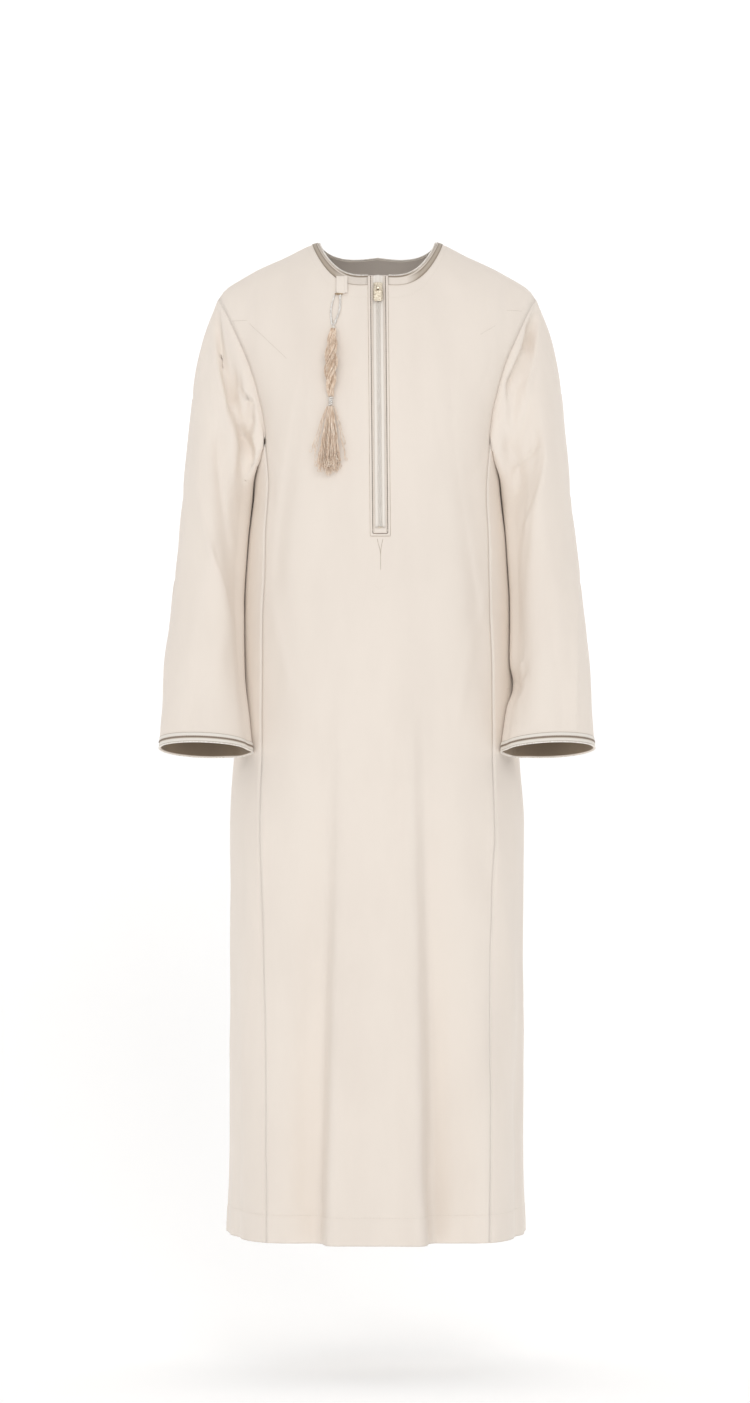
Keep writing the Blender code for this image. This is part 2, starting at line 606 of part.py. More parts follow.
def body_pieces():
    """The four panels and the two sleeves, with the normals that they share at their seams."""
    outer_columns = 1 + np.arange(1, COLUMN_COUNT + 1) / COLUMN_COUNT
    half = np.concatenate([[SLIT_SHARE, 1.0], outer_columns])
    columns = np.concatenate([-half[::-1], half])
    low_rows = np.concatenate([
        [-LENGTH - UNDERARM, -LENGTH + HEM_DEPTH - UNDERARM],
        np.linspace(SKIRT_FOOT, SKIRT_TOP, SKIRT_ROWS) - UNDERARM,
        [PLACKET_FOOT - UNDERARM, SLIT_FOOT - UNDERARM, CHEST_ROW - UNDERARM, 0.0]])
    rows = np.concatenate([low_rows, np.arange(1, ARC_ROWS + 1) / ARC_ROWS, [NECK_EDGE_ROW]])
    side_columns = np.linspace(0, 1, SIDE_CELLS + 1)
    whole = np.ones((len(rows) - 1, len(columns) - 1), bool)
    whole[-1, :COLUMN_COUNT - NECK_COLUMNS] = False
    whole[-1, NECK_COLUMNS - COLUMN_COUNT:] = False
    slit_foot = int(np.argmin(np.abs(rows - (SLIT_FOOT - UNDERARM))))
    slit = whole.copy()
    slit[slit_foot:, len(columns) // 2 - 1] = False
    plain = [Piece(panel_skin("front", columns, rows), whole),
             Piece(panel_skin("back", columns, rows)[:, ::-1], whole),
             Piece(side_skin(-1, side_columns, low_rows)), Piece(side_skin(1, side_columns, low_rows))]
    panels = folded(plain, BODY_FOLDS)
    steps = np.array(SLEEVE_STEPS + (1 - CUFF_BAND_WIDTH / SLEEVE_LENGTH, 1.0))
    front, back, right, left = (panel.points for panel in panels)
    sleeves = [sleeve_piece(-1, armhole_loop(front, back, right, -1), steps),
               sleeve_piece(1, armhole_loop(front, back, left, 1), steps)]
    pieces = panels + sleeves
    under = np.arange(ARC_ROWS, ARC_ROWS + SIDE_CELLS + 1)
    under_right = sleeves[0].points.shape[1] - 1 - under
    normals = shared_normals(pieces, apart=[(4, under_right), (5, under)])
    for piece, normal in zip(pieces, normals):
        piece.normals = normal
    sleeves[0].points[0, under_right] += panels[2].normals[-1, ::-1] * SEAM_GAP
    sleeves[1].points[0, under] += panels[3].normals[-1] * SEAM_GAP
    return pieces, slit, rows, slit_foot


def part_of(piece, rows, columns, keep=None):
    """A stretch of a piece, with the same points and normals."""
    cut = Piece(piece.points[rows, columns], keep, piece.closed)
    cut.normals = piece.normals[rows, columns]
    return cut


def build_body():
    """The cloth panels, the sleeves and the trims that follow them."""
    pieces, slit, rows, slit_foot = body_pieces()
    front, back = pieces[:2]
    skin = Skin([front, back])
    thick = np.where(rows < HEM_DEPTH - LENGTH - UNDERARM + SEAM_GAP, HEM_WALL, WALL)
    everything = slice(None)
    wall("front_panel", part_of(front, everything, everything, slit), 0, thick, "robe_cloth")
    wall("back_panel", back, 0, thick, "robe_cloth")
    low_thick = thick[:pieces[2].points.shape[0]]
    wall("side_panel_right", pieces[2], 0, low_thick, "robe_cloth")
    wall("side_panel_left", pieces[3], 0, low_thick, "robe_cloth")
    for name, sleeve in (("right", pieces[4]), ("left", pieces[5])):
        wall("sleeve_" + name, sleeve, 0, WALL, "robe_cloth")
        cuff = part_of(sleeve, slice(-2, None), everything)
        wall("cuff_band_" + name, cuff, SEAM_GAP + TRIM_WALL, TRIM_WALL, "trim_taupe")

    middle = front.points.shape[1] // 2
    frame_keep = np.ones((len(rows) - slit_foot, 3), bool)
    frame_keep[1:, 1] = False
    frame = part_of(front, slice(slit_foot - 1, None), slice(middle - 2, middle + 2), frame_keep)
    wall("placket_frame", frame, SEAM_GAP + TRIM_WALL, TRIM_WALL, "robe_cloth")
    tape = part_of(front, slice(slit_foot, None), slice(middle - 1, middle + 1))
    wall("zip_tape", tape, -SEAM_GAP, TRIM_WALL, "zip_cloth")
    build_neck_trim(front, back)
    return skin


def build_neck_trim(front, back):
    """The band that lies round the neck edge and the piping along the edge itself."""
    points = np.stack([neck_rows(front.points, back.points, row) for row in (-2, -1)])
    band = Piece(points)
    band.normals = np.stack([neck_rows(front.normals, back.normals, row) for row in (-2, -1)])
    wall("neck_band", band, SEAM_GAP + TRIM_WALL, TRIM_WALL, "trim_taupe")
    inward = band.points[1] - band.points[0]
    inward /= np.linalg.norm(inward, axis=1, keepdims=True)
    middle = band.points[1] - band.normals[1] * WALL / 2
    tube("neck_piping", middle + inward * (PIPING_RADIUS + PIPING_GAP), PIPING_RADIUS,
         PIPING_SIDES, "piping_pale")


def boxed(work, low, high):
    """Add a box between two corners to a mesh under work."""
    low, high = Vector(low), Vector(high)
    grown = bmesh.ops.create_cube(work, size=1.0)["verts"]
    for vertex in grown:
        vertex.co = Vector(low[k] + (vertex.co[k] + 0.5) * (high[k] - low[k]) for k in range(3))


def box(name, low, high, material, bevel=0.0):
    """A box between two corners, with rounded edges where a bevel is given."""
    work = bmesh.new()
    boxed(work, low, high)
    if bevel:
        bmesh.ops.bevel(work, geom=work.edges[:], offset=bevel, segments=2, profile=0.5,
                        affect="EDGES", clamp_overlap=True)
    mesh = bpy.data.meshes.new(name)
    work.to_mesh(mesh)
    work.free()
    mesh.shade_smooth()
    mesh.set_sharp_from_angle(angle=BOX_EDGE)
    mesh.materials.append(bpy.data.materials[material])
    made = bpy.data.objects.new(name, mesh)
    bpy.context.scene.collection.objects.link(made)
    return made


def cut_or_join(made, other, operation):
    """Join another solid to one, or cut it away, and hide the other."""
    change = made.modifiers.new(operation.title(), "BOOLEAN")
    change.operation = operation
    change.object = other
    other.hide_render = True
    other.display_type = "WIRE"
    other.parent = made


def build_zip_pull(skin):
    """The slider on the tape, with the bridge that carries the pull tab's eye."""
    middle = placket_shift(SLIDER["height"])
    tape_point, normal = skin.front(middle, SLIDER["height"], -SEAM_GAP)
    out = Vector(normal).normalized()
    across = Vector((1.0, 0.0, 0.0))
    up = out.cross(across).normalized()
    out = across.cross(up)
    turned = Matrix((across, up, out)).transposed().to_4x4()
    turned.translation = Vector(tape_point) + out * SEAM_GAP
    half, thick = SLIDER["width"] / 2, SLIDER["thick"]
    length, wing = SLIDER["length"] / 2, BRIDGE["width"] / 2
    slider = box("zip_slider", (-half, -length, 0), (half, length, thick), "zip_metal",
                 SLIDER["bevel"])
    top = thick + BRIDGE["clear"] + BRIDGE["bar"]
    bridge = box("slider_bridge", (-wing, BRIDGE["foot"], thick - BRIDGE["sink"]),
                 (wing, BRIDGE["head"], top), "zip_metal", BRIDGE["bevel"])
    gap = box("slider_gap", (-half, BRIDGE["foot"] + BRIDGE["bar"], thick),
              (half, BRIDGE["head"] - BRIDGE["bar"], thick + BRIDGE["clear"]), "zip_metal")
    cut_or_join(bridge, gap, "DIFFERENCE")
    cut_or_join(slider, bridge, "UNION")
    pivot = Vector((0.0, PULL["pivot_up"], thick + PULL["pivot_out"]))
    half, thin = PULL["width"] / 2, PULL["thick"] / 2
    pull = box("zip_pull", (-half, thin - PULL["length"], -thin), (half, thin, thin), "zip_metal",
               PULL["bevel"])
    eye = box("pull_eye", (-PULL["eye_half"], -PULL["eye_foot"], -half),
              (PULL["eye_half"], -thin, half), "zip_metal")
    cut_or_join(pull, eye, "DIFFERENCE")
    slider.matrix_world = turned
    pull.matrix_world = turned @ Matrix.Translation(pivot)


def build_tassel(skin):
    """The cloth tab at the neck edge and the tassel that hangs from it."""
    heights = np.linspace(TAB["foot"], TAB["top"], TAB["rows"])
    across = TAB["across"] + TAB["half"] * np.array([-1.0, 0.0, 1.0])
    tab = Piece(np.array([[skin.front(x, z)[0] for x in across] for z in heights]))
    wall("tassel_tab", tab, TAB["lift"] + TAB["thick"], TAB["thick"], "robe_cloth")

    radius = LOOP["radius"]
    part = np.linspace(0, 1, LOOP["stations"])
    foot = LOOP["foot"] + LOOP["foot_half"]
    sides = []
    for start, sign in ((LOOP["left"], -1), (LOOP["right"], 1)):
        end = LOOP["foot_across"] + sign * LOOP["foot_half"]
        x = start + (end - start) * part + sign * LOOP["bow"] * np.sin(math.pi * part)
        sides.append(np.stack([x, TAB["foot"] - SEAM_GAP - radius
                               + (foot - TAB["foot"] + SEAM_GAP + radius) * part], 1))
    turn = np.linspace(math.pi, 2 * math.pi, LOOP["bend_stations"])[1:-1]
    bend = np.stack([LOOP["foot_across"] + LOOP["foot_half"] * np.cos(turn),
                     foot + LOOP["foot_half"] * np.sin(turn)], 1)
    route = np.concatenate([sides[0], bend, sides[1][::-1]])
    path = np.array([skin.front(x, z, radius + HANG_LIFT)[0] for x, z in route])
    tube("tassel_cord_loop", path, radius, LOOP["sides"], "silver_thread")

    bead_z = LOOP["foot"] - radius - SEAM_GAP - BEAD["radius"]
    centre = skin.front(BEAD["across"], bead_z, BEAD["radius"] + HANG_LIFT)[0]
    turn = np.linspace(0, math.pi, BEAD["stations"])[1:-1]
    rise = BEAD["radius"] * np.cos(turn)
    stations = centre + np.stack([0 * rise, 0 * rise, rise], 1)
    tube("tassel_bead", stations, BEAD["radius"] * np.sin(turn), BEAD["sides"], "silver_thread")

    top = bead_z - BEAD["radius"] * math.cos(turn[0]) - SEAM_GAP
    part = np.linspace(0, 1, SKEIN["stations"])
    belly = np.clip(np.sin(math.pi * part), 0, 1) ** SKEIN["fullness"]
    swell = SKEIN["radius"] * (SKEIN["end_share"] + (1 - SKEIN["end_share"]) * belly)
    height = top + (SKEIN["foot"] - top) * part
    x = SKEIN["top_across"] + (SKEIN["low_across"] - SKEIN["top_across"]) * part
    reach = SKEIN["radius"] * (1 + SKEIN["lobe"])
    rise = ease(np.minimum(part, 1 - part) / SKEIN["lift_run"])
    lift = 2 * HANG_LIFT + reach * (SKEIN["end_share"] + (1 - SKEIN["end_share"]) * rise)
    path = np.array([skin.front(*place)[0] for place in zip(x, height, lift)])

    def lobes(station, angle):
        spin = SKEIN["turns"] * 2 * math.pi * station / (len(path) - 1)
        return 1 + SKEIN["lobe"] * np.cos(SKEIN["lobes"] * angle - spin)

    tube("tassel_skein", path, swell, SKEIN["sides"], "tassel_floss", lobes)

    ends = np.array([path[-1] - (0, 0, SEAM_GAP), path[-1] - (0, 0, SEAM_GAP + BINDING["height"])])
    tube("tassel_binding", ends, BINDING["radius"], BINDING["sides"], "silver_thread")
    build_fringe(skin, ends[-1] - (0, 0, SEAM_GAP))


def build_fringe(skin, top):
    """The tassel's strands, which grow out of the underside of one small round head."""
    work = bmesh.new()
    cells, radius, drops = FRINGE["cells"], FRINGE["head_radius"], FRINGE["drops"]
    bmesh.ops.create_grid(work, x_segments=cells, y_segments=cells, size=1.0)
    for vertex in work.verts:
        x, y = vertex.co.x, vertex.co.y
        vertex.co.x = radius * x * math.sqrt(1 - y * y / 2)
        vertex.co.y = radius * y * math.sqrt(1 - x * x / 2)
    under = work.faces[:]
    raised = bmesh.ops.extrude_face_region(work, geom=under, use_keep_orig=True)["geom"]
    for part in raised:
        if isinstance(part, bmesh.types.BMVert):
            part.co.z += FRINGE["head_height"]
    bmesh.ops.recalc_face_normals(work, faces=work.faces)
    strands = [face for face in work.faces if face.normal.z < -0.9]
    bmesh.ops.inset_individual(work, faces=strands,
                               thickness=radius / cells * FRINGE["gap_share"])
    start = Vector(top) - Vector((0, 0, FRINGE["head_height"]))
    foot = Vector(skin.front(FRINGE["across"], FRINGE["foot"],
                             FRINGE["spread_out"] + FRINGE["foot_lift"])[0])
    step = (foot - start) / drops
    share = [(count / drops) ** FRINGE["flare"] for count in range(drops + 1)]
    wide = [radius + (FRINGE["spread_across"] - radius) * part for part in share]
    deep = [radius + (FRINGE["spread_out"] - radius) * part for part in share]
    for count in range(drops):
        strands = bmesh.ops.extrude_discrete_faces(work, faces=strands)["faces"]
        for face in strands:
            centre = face.calc_center_median() - step * count
            fan = Vector((centre.x * (wide[count + 1] / wide[count] - 1),
                          centre.y * (deep[count + 1] / deep[count] - 1), 0.0))
            for vertex in face.verts:
                vertex.co += fan + step
    mesh = bpy.data.meshes.new("tassel_skirt")
    work.to_mesh(mesh)
    work.free()
    mesh.materials.append(bpy.data.materials["tassel_floss"])
    made = bpy.data.objects.new("tassel_skirt", mesh)
    bpy.context.scene.collection.objects.link(made)
    made.location = start


def build_all():
    """Model the whole robe."""
    for old in list(bpy.data.objects):
        bpy.data.objects.remove(old, do_unlink=True)
    for name, (colour, roughness, metallic) in MATERIALS.items():
        made = bpy.data.materials.new(name)
        made.use_nodes = True
        shader = made.node_tree.nodes["Principled BSDF"]
        shader.inputs["Base Color"].default_value = colour
        shader.inputs["Roughness"].default_value = roughness
        shader.inputs["Metallic"].default_value = metallic
    skin = build_body()
    build_zip_pull(skin)
    build_tassel(skin)


build_all()
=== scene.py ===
"""A worn collarless robe in cream cloth, dressed on its frame: cloth, trims, zip, tassel, studio.

The cloth is one outer skin: sections of the body and of the sleeves, joined by smooth curves, give
its places. Folds and creases are laid on it along its normals, and it is cut along the garment's
seams into sheets. Lengths are in metres, +Z is up, and the front faces -Y.
"""
from __future__ import annotations

import logging
import math
from dataclasses import dataclass, field
from enum import Enum
from typing import Sequence

import bpy
import numpy as np
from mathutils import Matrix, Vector
from mathutils.bvhtree import BVHTree


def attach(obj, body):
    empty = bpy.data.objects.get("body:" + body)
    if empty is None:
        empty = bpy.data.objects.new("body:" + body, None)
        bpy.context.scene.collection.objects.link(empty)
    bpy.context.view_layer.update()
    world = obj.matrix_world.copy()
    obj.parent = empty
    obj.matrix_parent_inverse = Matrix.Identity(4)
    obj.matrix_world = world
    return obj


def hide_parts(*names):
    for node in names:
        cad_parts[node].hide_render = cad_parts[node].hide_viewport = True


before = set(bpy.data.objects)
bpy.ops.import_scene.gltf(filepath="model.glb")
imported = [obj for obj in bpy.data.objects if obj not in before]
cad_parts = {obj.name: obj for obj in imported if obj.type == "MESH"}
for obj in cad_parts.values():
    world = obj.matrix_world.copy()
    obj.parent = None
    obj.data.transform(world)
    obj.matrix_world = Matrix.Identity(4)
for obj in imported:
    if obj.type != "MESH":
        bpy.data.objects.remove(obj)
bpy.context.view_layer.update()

Array = np.ndarray
Colour = tuple[float, float, float]
LOG = logging.getLogger("robe")

SEAM_GAP = 0.0003
SEWN_GAP = 0.00004
CLOTH = 0.0018
HEM_CLOTH = 0.0028
TRIM = 0.0008
TRIM_OUT = 0.0006


class Body(Enum):
    """The frame's moving bodies."""

    ROBE = "robe"
    PULL_TAB = "pull_tab"


class Slot(Enum):
    """The record's material slots."""

    CLOTH = "robe_cloth"
    TAUPE = "trim_taupe"
    PIPING = "piping_pale"
    SILVER = "silver_thread"
    FLOSS = "tassel_floss"
    METAL = "zip_metal"
    TAPE = "zip_cloth"


class Face(Enum):
    """The two large faces of the body."""

    FRONT = -1
    BACK = 1


class Side(Enum):
    """The wearer's sides, as the sign of X."""

    RIGHT = -1
    LEFT = 1

    @property
    def word(self) -> str:
        """The side's name in lower case."""
        return self.name.lower()


def table(columns: str, rows: Sequence[Sequence[float]]) -> dict[str, Array]:
    """Read a table.

    Args:
        columns: the columns' names, parted by spaces.
        rows: one row of numbers for each section or fold.

    Returns:
        Each column's name with its values.
    """
    return dict(zip(columns.split(), np.array(rows, float).T))


def ease(part: Array) -> Array:
    """A smooth step from 0 to 1: three times the square less twice the cube."""
    part = np.clip(part, 0, 1)
    return part * part * (3 - 2 * part)


def bump(off: Array, width: float) -> Array:
    """A bell curve: e to the minus square of the distance over the width."""
    return np.exp(-(off / width) ** 2)


def unit(vectors: Array) -> Array:
    """Vectors brought to length 1 along the last axis."""
    length = np.linalg.norm(vectors, axis=-1, keepdims=True)
    return vectors / np.where(length > 0, length, 1)


def curve(at: Array, places: Array, values: Array) -> Array:
    """A cubic curve through points, whose tangents are the harmonic means of the slopes beside
    each point, so that it never overshoots them.

    Args:
        at: where to read the curve.
        places: the points' places, rising.
        values: the points' values.

    Returns:
        The curve's values.
    """
    slope = np.diff(values) / np.diff(places)
    turn = slope[1:] * slope[:-1]
    inner = np.where(turn > 0, 2 * turn / np.where(turn > 0, slope[1:] + slope[:-1], 1), 0)
    tangent = np.concatenate([slope[:1], inner, slope[-1:]])
    index = np.clip(np.searchsorted(places, at) - 1, 0, len(places) - 2)
    step = places[index + 1] - places[index]
    part = np.clip((at - places[index]) / step, 0, 1)
    start = (1 + 2 * part) * (1 - part) ** 2 * values[index]
    end = part ** 2 * (3 - 2 * part) * values[index + 1]
    leave = part * (1 - part) ** 2 * step * tangent[index]
    arrive = part ** 2 * (part - 1) * step * tangent[index + 1]
    return start + end + leave + arrive


def spaced(marks: Sequence[float], step: float) -> Array:
    """Rising places that hold every mark, with even steps no longer than the given one.

    Args:
        marks: the places to hold, rising.
        step: the longest step.

    Returns:
        The places.
    """
    runs = [np.linspace(low, high, 1 + math.ceil((high - low) / step - 1e-6))[:-1]
            for low, high in zip(marks[:-1], marks[1:])]
    return np.concatenate(runs + [[marks[-1]]])


def travelled(path: Array) -> Array:
    """The length gone at each point of a path, from its start."""
    return np.concatenate([[0.0], np.cumsum(np.linalg.norm(np.diff(path, axis=0), axis=1))])


def resampled(path: Array, spacing: float, *fields: Array) -> list[Array]:
    """Points at even lengths along a path.

    Args:
        path: the points, one a row.
        spacing: the length between new points.
        fields: values at the path's points that are read at the same places.

    Returns:
        The new points, then each field's values.
    """
    gone = travelled(path)
    at = np.arange(spacing / 2, gone[-1], spacing)
    return [np.stack([np.interp(at, gone, values[:, k]) for k in range(values.shape[1])], 1)
            for values in (path, *fields)]


def span_from(points: Array, axis: int, at_end: bool) -> Array:
    """The length along each row or column of a grid, counted from its start or its end.

    Args:
        points: a grid of points.
        axis: the grid's axis that the length runs along.
        at_end: whether the length starts at that axis's end.

    Returns:
        The length gone at each point of the grid.
    """
    points = np.flip(points, axis) if at_end else points
    steps = np.linalg.norm(np.diff(points, axis=axis), axis=-1)
    first = np.zeros_like(np.take(steps, [0], axis))
    gone = np.concatenate([first, np.cumsum(steps, axis)], axis)
    return np.flip(gone, axis) if at_end else gone


# Materials

class Recipe:
    """A material under work: its shader and the nodes that lead to it."""

    def __init__(self, name: str) -> None:
        """Start a material with a Principled shader.

        Args:
            name: the material's name.
        """
        self.material = bpy.data.materials.new(name)
        self.material.use_nodes = True
        self.tree = self.material.node_tree
        self.shader = self.tree.nodes["Principled BSDF"]

    def feed(self, socket: bpy.types.NodeSocket, value: object) -> None:
        """Link another socket to a socket, or set its constant.

        Args:
            socket: the input to feed.
            value: another node's output, or a constant.
        """
        if isinstance(value, bpy.types.NodeSocket):
            self.tree.links.new(value, socket)
        else:
            socket.default_value = value

    def node(self, kind: str, inputs: dict[str, object], **settings: object) -> bpy.types.Node:
        """Add a node.

        Args:
            kind: its type without the leading ShaderNode.
            inputs: what each named input is fed with.
            settings: its own settings.

        Returns:
            The node.
        """
        made = self.tree.nodes.new("ShaderNode" + kind)
        for name, value in settings.items():
            setattr(made, name, value)
        for name, value in inputs.items():
            self.feed(made.inputs[name], value)
        return made

    def mix(self, factor: object, first: object, second: object) -> bpy.types.NodeSocket:
        """A colour between two others.

        Args:
            factor: the second colour's share.
            first: a colour or another node's output.
            second: the second colour.

        Returns:
            The mixed colour's socket.
        """
        made = self.node("Mix", {}, data_type="RGBA")
        sockets = {socket.identifier: socket for socket in made.inputs}
        for name, value in zip(("Factor_Float", "A_Color", "B_Color"), (factor, first, second)):
            self.feed(sockets[name], value)
        return made.outputs[2]

    def scaled(self, coordinates: object, scale: Sequence[float]) -> bpy.types.NodeSocket:
        """Coordinates stretched by a factor on each axis."""
        return self.node("Mapping", {"Vector": coordinates, "Scale": scale}).outputs["Vector"]

    def noise(self, coordinates: object, scale: float, detail: float = 2.0) -> bpy.types.NodeSocket:
        """A grey noise between 0 and 1."""
        inputs = {"Vector": coordinates, "Scale": scale, "Detail": detail}
        return self.node("TexNoise", inputs).outputs["Fac"]

    def ramp(self, factor: object, stops: Sequence[tuple[float, Colour]],
             kind: str = "LINEAR") -> bpy.types.NodeSocket:
        """Colours along a number.

        Args:
            factor: the number.
            stops: each place with its colour, at rising places.
            kind: how the colours run into each other.

        Returns:
            The colour socket.
        """
        made = self.node("ValToRGB", {"Fac": factor})
        made.color_ramp.interpolation = kind
        elements = made.color_ramp.elements
        while len(elements) < len(stops):
            elements.new(0.5)
        for element, (place, colour) in zip(elements, stops):
            element.position = place
            element.color = (*colour, 1.0)
        return made.outputs["Color"]

    def raise_by(self, height: object, depth: float, strength: float) -> None:
        """Give the shader a relief of the given depth in metres."""
        inputs = {"Height": height, "Distance": depth, "Strength": strength}
        self.feed(self.shader.inputs["Normal"], self.node("Bump", inputs).outputs["Normal"])

    def times(self, first: object, second: object, operation: str = "MULTIPLY") -> object:
        """Two numbers joined by a sum.

        Args:
            first: a number or another node's output.
            second: the other one.
            operation: the Math node's operation.

        Returns:
            The result's socket.
        """
        made = self.node("Math", {}, operation=operation)
        self.feed(made.inputs[0], first)
        self.feed(made.inputs[1], second)
        return made.outputs[0]

    def set(self, **constants: object) -> None:
        """Set the shader's own sockets, named with underscores for spaces."""
        for name, value in constants.items():
            self.shader.inputs[name.replace("_", " ")].default_value = value


@dataclass(frozen=True)
class Finish:
    """A finish of one colour with what every finish has.

    Attributes:
        name: the material's name.
        slot: the record's slot that it belongs to.
        colour: its main colour, linear.
        roughness: its roughness.
    """

    name: str
    slot: Slot
    colour: Colour
    roughness: float

    def build(self) -> bpy.types.Material:
        """Make the material."""
        raise NotImplementedError


@dataclass(frozen=True)
class Suiting(Finish):
    """Smooth woven suiting: fine threads both ways, thick and thin places, a soft uneven tone.

    Attributes:
        shade: the colour of its darker places.
        thread: the width of one thread.
        sheen: how much fuzz catches light at grazing angles.
    """

    shade: Colour = (0.79, 0.715, 0.643)
    thread: float = 0.0006
    sheen: float = 0.12

    def build(self) -> bpy.types.Material:
        """Weave: two waves across each other, with stretched noise for uneven threads.

        Returns:
            The material.
        """
        recipe = Recipe(self.name)
        uv = recipe.node("UVMap", {}, uv_map="cloth").outputs["UV"]
        place = recipe.node("TexCoord", {}).outputs["Object"]
        pitch = math.pi / 10 / self.thread
        waves = [recipe.node("TexWave", {"Vector": uv, "Scale": pitch, "Distortion": 0.6,
                                         "Detail": 1.0}, bands_direction=axis).outputs["Fac"]
                 for axis in ("X", "Y")]
        weave = recipe.times(*waves)
        slubs = recipe.noise(recipe.scaled(uv, (900.0, 60.0, 1.0)), 1.0, 1.0)
        cross = recipe.noise(recipe.scaled(uv, (60.0, 900.0, 1.0)), 1.0, 1.0)
        threads = recipe.times(slubs, cross, "ADD")
        cloudy = recipe.noise(recipe.scaled(place, (1.0, 1.0, 0.35)), 16.0, 4.0)
        tone = recipe.ramp(cloudy, [(0.20, self.shade), (0.60, self.colour)])
        fleck = recipe.times(recipe.times(threads, 0.5), 0.10)
        colour = recipe.mix(fleck, tone, (*self.shade, 1.0))
        recipe.feed(recipe.shader.inputs["Base Color"], colour)
        recipe.raise_by(recipe.times(weave, recipe.times(threads, 0.6), "ADD"), 0.00012, 0.30)
        recipe.set(Roughness=self.roughness, Sheen_Weight=self.sheen, Sheen_Roughness=0.45)
        return recipe.material


@dataclass(frozen=True)
class Banding(Finish):
    """Woven banding, striped across its width, with ribs across its length.

    Attributes:
        stripes: each stripe's start across the band, from 0 to 1, with its colour.
        front_stripes: the same for its front, or none where it is the same all round.
        front: how far across the front's stripes begin to give way and have given way.
        rib: the width of one rib.
    """

    stripes: tuple[tuple[float, Colour], ...] = ()
    front_stripes: tuple[tuple[float, Colour], ...] = ()
    front: tuple[float, float] = (0.040, 0.058)
    rib: float = 0.0009

    def build(self) -> bpy.types.Material:
        """Stripes by the place across the band, ribs by the length along it.

        Returns:
            The material.
        """
        recipe = Recipe(self.name)
        uv = recipe.node("UVMap", {}, uv_map="cloth").outputs["UV"]
        parts = recipe.node("SeparateXYZ", {"Vector": uv})
        stripe = recipe.ramp(parts.outputs["Y"], self.stripes)
        if self.front_stripes:
            place = recipe.node("TexCoord", {}).outputs["Object"]
            across, depth, _ = recipe.node("SeparateXYZ", {"Vector": place}).outputs
            beside = recipe.node("MapRange", {"Value": recipe.times(across, 0.0, "ABSOLUTE"),
                                              "From Min": self.front[0],
                                              "From Max": self.front[1]}).outputs["Result"]
            behind = recipe.times(beside, recipe.times(depth, 0.0, "GREATER_THAN"), "MAXIMUM")
            stripe = recipe.mix(behind, recipe.ramp(parts.outputs["Y"], self.front_stripes), stripe)
        ribs = recipe.node("TexWave", {"Vector": recipe.scaled(uv, (1.0, 0.0, 0.0)),
                                       "Scale": math.pi / 10 / self.rib},
                           bands_direction="X").outputs["Fac"]
        dark = recipe.times(ribs, 0.25)
        colour = recipe.mix(dark, stripe, (*self.colour, 1.0))
        recipe.feed(recipe.shader.inputs["Base Color"], colour)
        recipe.raise_by(ribs, 0.0002, 0.5)
        recipe.set(Roughness=self.roughness, Sheen_Weight=0.1)
        return recipe.material


@dataclass(frozen=True)
class Yarn(Finish):
    """Thread, floss or cord: fine fibres along each strand, with a painted highlight on some and painted
    shade between them.

    Attributes:
        dark: the painted shade between fibres.
        light: the painted highlight on the lit fibres.
        metallic: its metallic value, for metal thread.
        grain: how many fibres show in a metre along and across the strands.
    """

    dark: Colour = (0.30, 0.22, 0.15)
    light: Colour = (0.85, 0.75, 0.62)
    metallic: float = 0.0
    grain: float = 900.0

    def build(self) -> bpy.types.Material:
        """Fibres: noise that is stretched along Z, in the piece's own coordinates, which runs between
        painted shade, the thread's colour and a painted highlight.

        Returns:
            The material.
        """
        recipe = Recipe(self.name)
        place = recipe.node("TexCoord", {}).outputs["Object"]
        fibres = recipe.noise(recipe.scaled(place, (1.0, 1.0, 0.12)), self.grain, 2.0)
        # painted shade between fibres, the thread's own colour, and a painted highlight on lit fibres
        stops = [(0.30, self.dark), (0.50, self.colour), (0.70, self.light)]
        recipe.feed(recipe.shader.inputs["Base Color"], recipe.ramp(fibres, stops))
        recipe.raise_by(fibres, 0.00015, 0.5)
        recipe.set(Roughness=self.roughness, Metallic=self.metallic, Sheen_Weight=0.2)
        return recipe.material


@dataclass(frozen=True)
class Plating(Finish):
    """Plated zip metal with a fine cast grain.

    Attributes:
        dull: the colour of its worn, duller places.
        relief: the depth of the grain.
    """

    dull: Colour = (0.55, 0.46, 0.34)
    relief: float = 0.00012

    def build(self) -> bpy.types.Material:
        """Grain and tarnish: two noises, a fine one for the relief and a coarse one for tone.

        Returns:
            The material.
        """
        recipe = Recipe(self.name)
        place = recipe.node("TexCoord", {}).outputs["Object"]
        coarse = recipe.noise(place, 500.0, 3.0)
        tone = recipe.ramp(coarse, [(0.35, self.dull), (0.60, self.colour)])
        recipe.feed(recipe.shader.inputs["Base Color"], tone)
        recipe.raise_by(recipe.noise(place, 1400.0, 2.0), self.relief, 0.6)
        recipe.set(Roughness=self.roughness, Metallic=1.0)
        return recipe.material


CREAM = (0.83, 0.755, 0.68)
TAUPE = (0.40, 0.33, 0.26)
BROWN = (0.17, 0.12, 0.085)
PALE = (0.86, 0.82, 0.76)

ROBE_CLOTH = Suiting("cream_suiting", Slot.CLOTH, CREAM, 0.82)
NECK_BANDING = Banding("neck_banding", Slot.TAUPE, TAUPE, 0.75, stripes=(
    (0.00, BROWN), (0.10, TAUPE), (0.30, (0.50, 0.43, 0.35)), (0.55, (0.44, 0.37, 0.30)),
    (0.64, BROWN), (0.70, (0.66, 0.58, 0.50)), (0.84, CREAM)),
    front_stripes=((0.00, (0.70, 0.62, 0.54)), (0.08, CREAM), (0.76, CREAM), (0.86, (0.34, 0.27, 0.20))))
CUFF_BANDING = Banding("cuff_banding", Slot.TAUPE, TAUPE, 0.70, stripes=(
    (0.00, TAUPE), (0.06, PALE), (0.30, PALE), (0.38, (0.55, 0.47, 0.39)), (0.50, BROWN),
    (0.58, (0.55, 0.47, 0.39)), (0.66, PALE), (0.86, PALE), (0.93, TAUPE)))
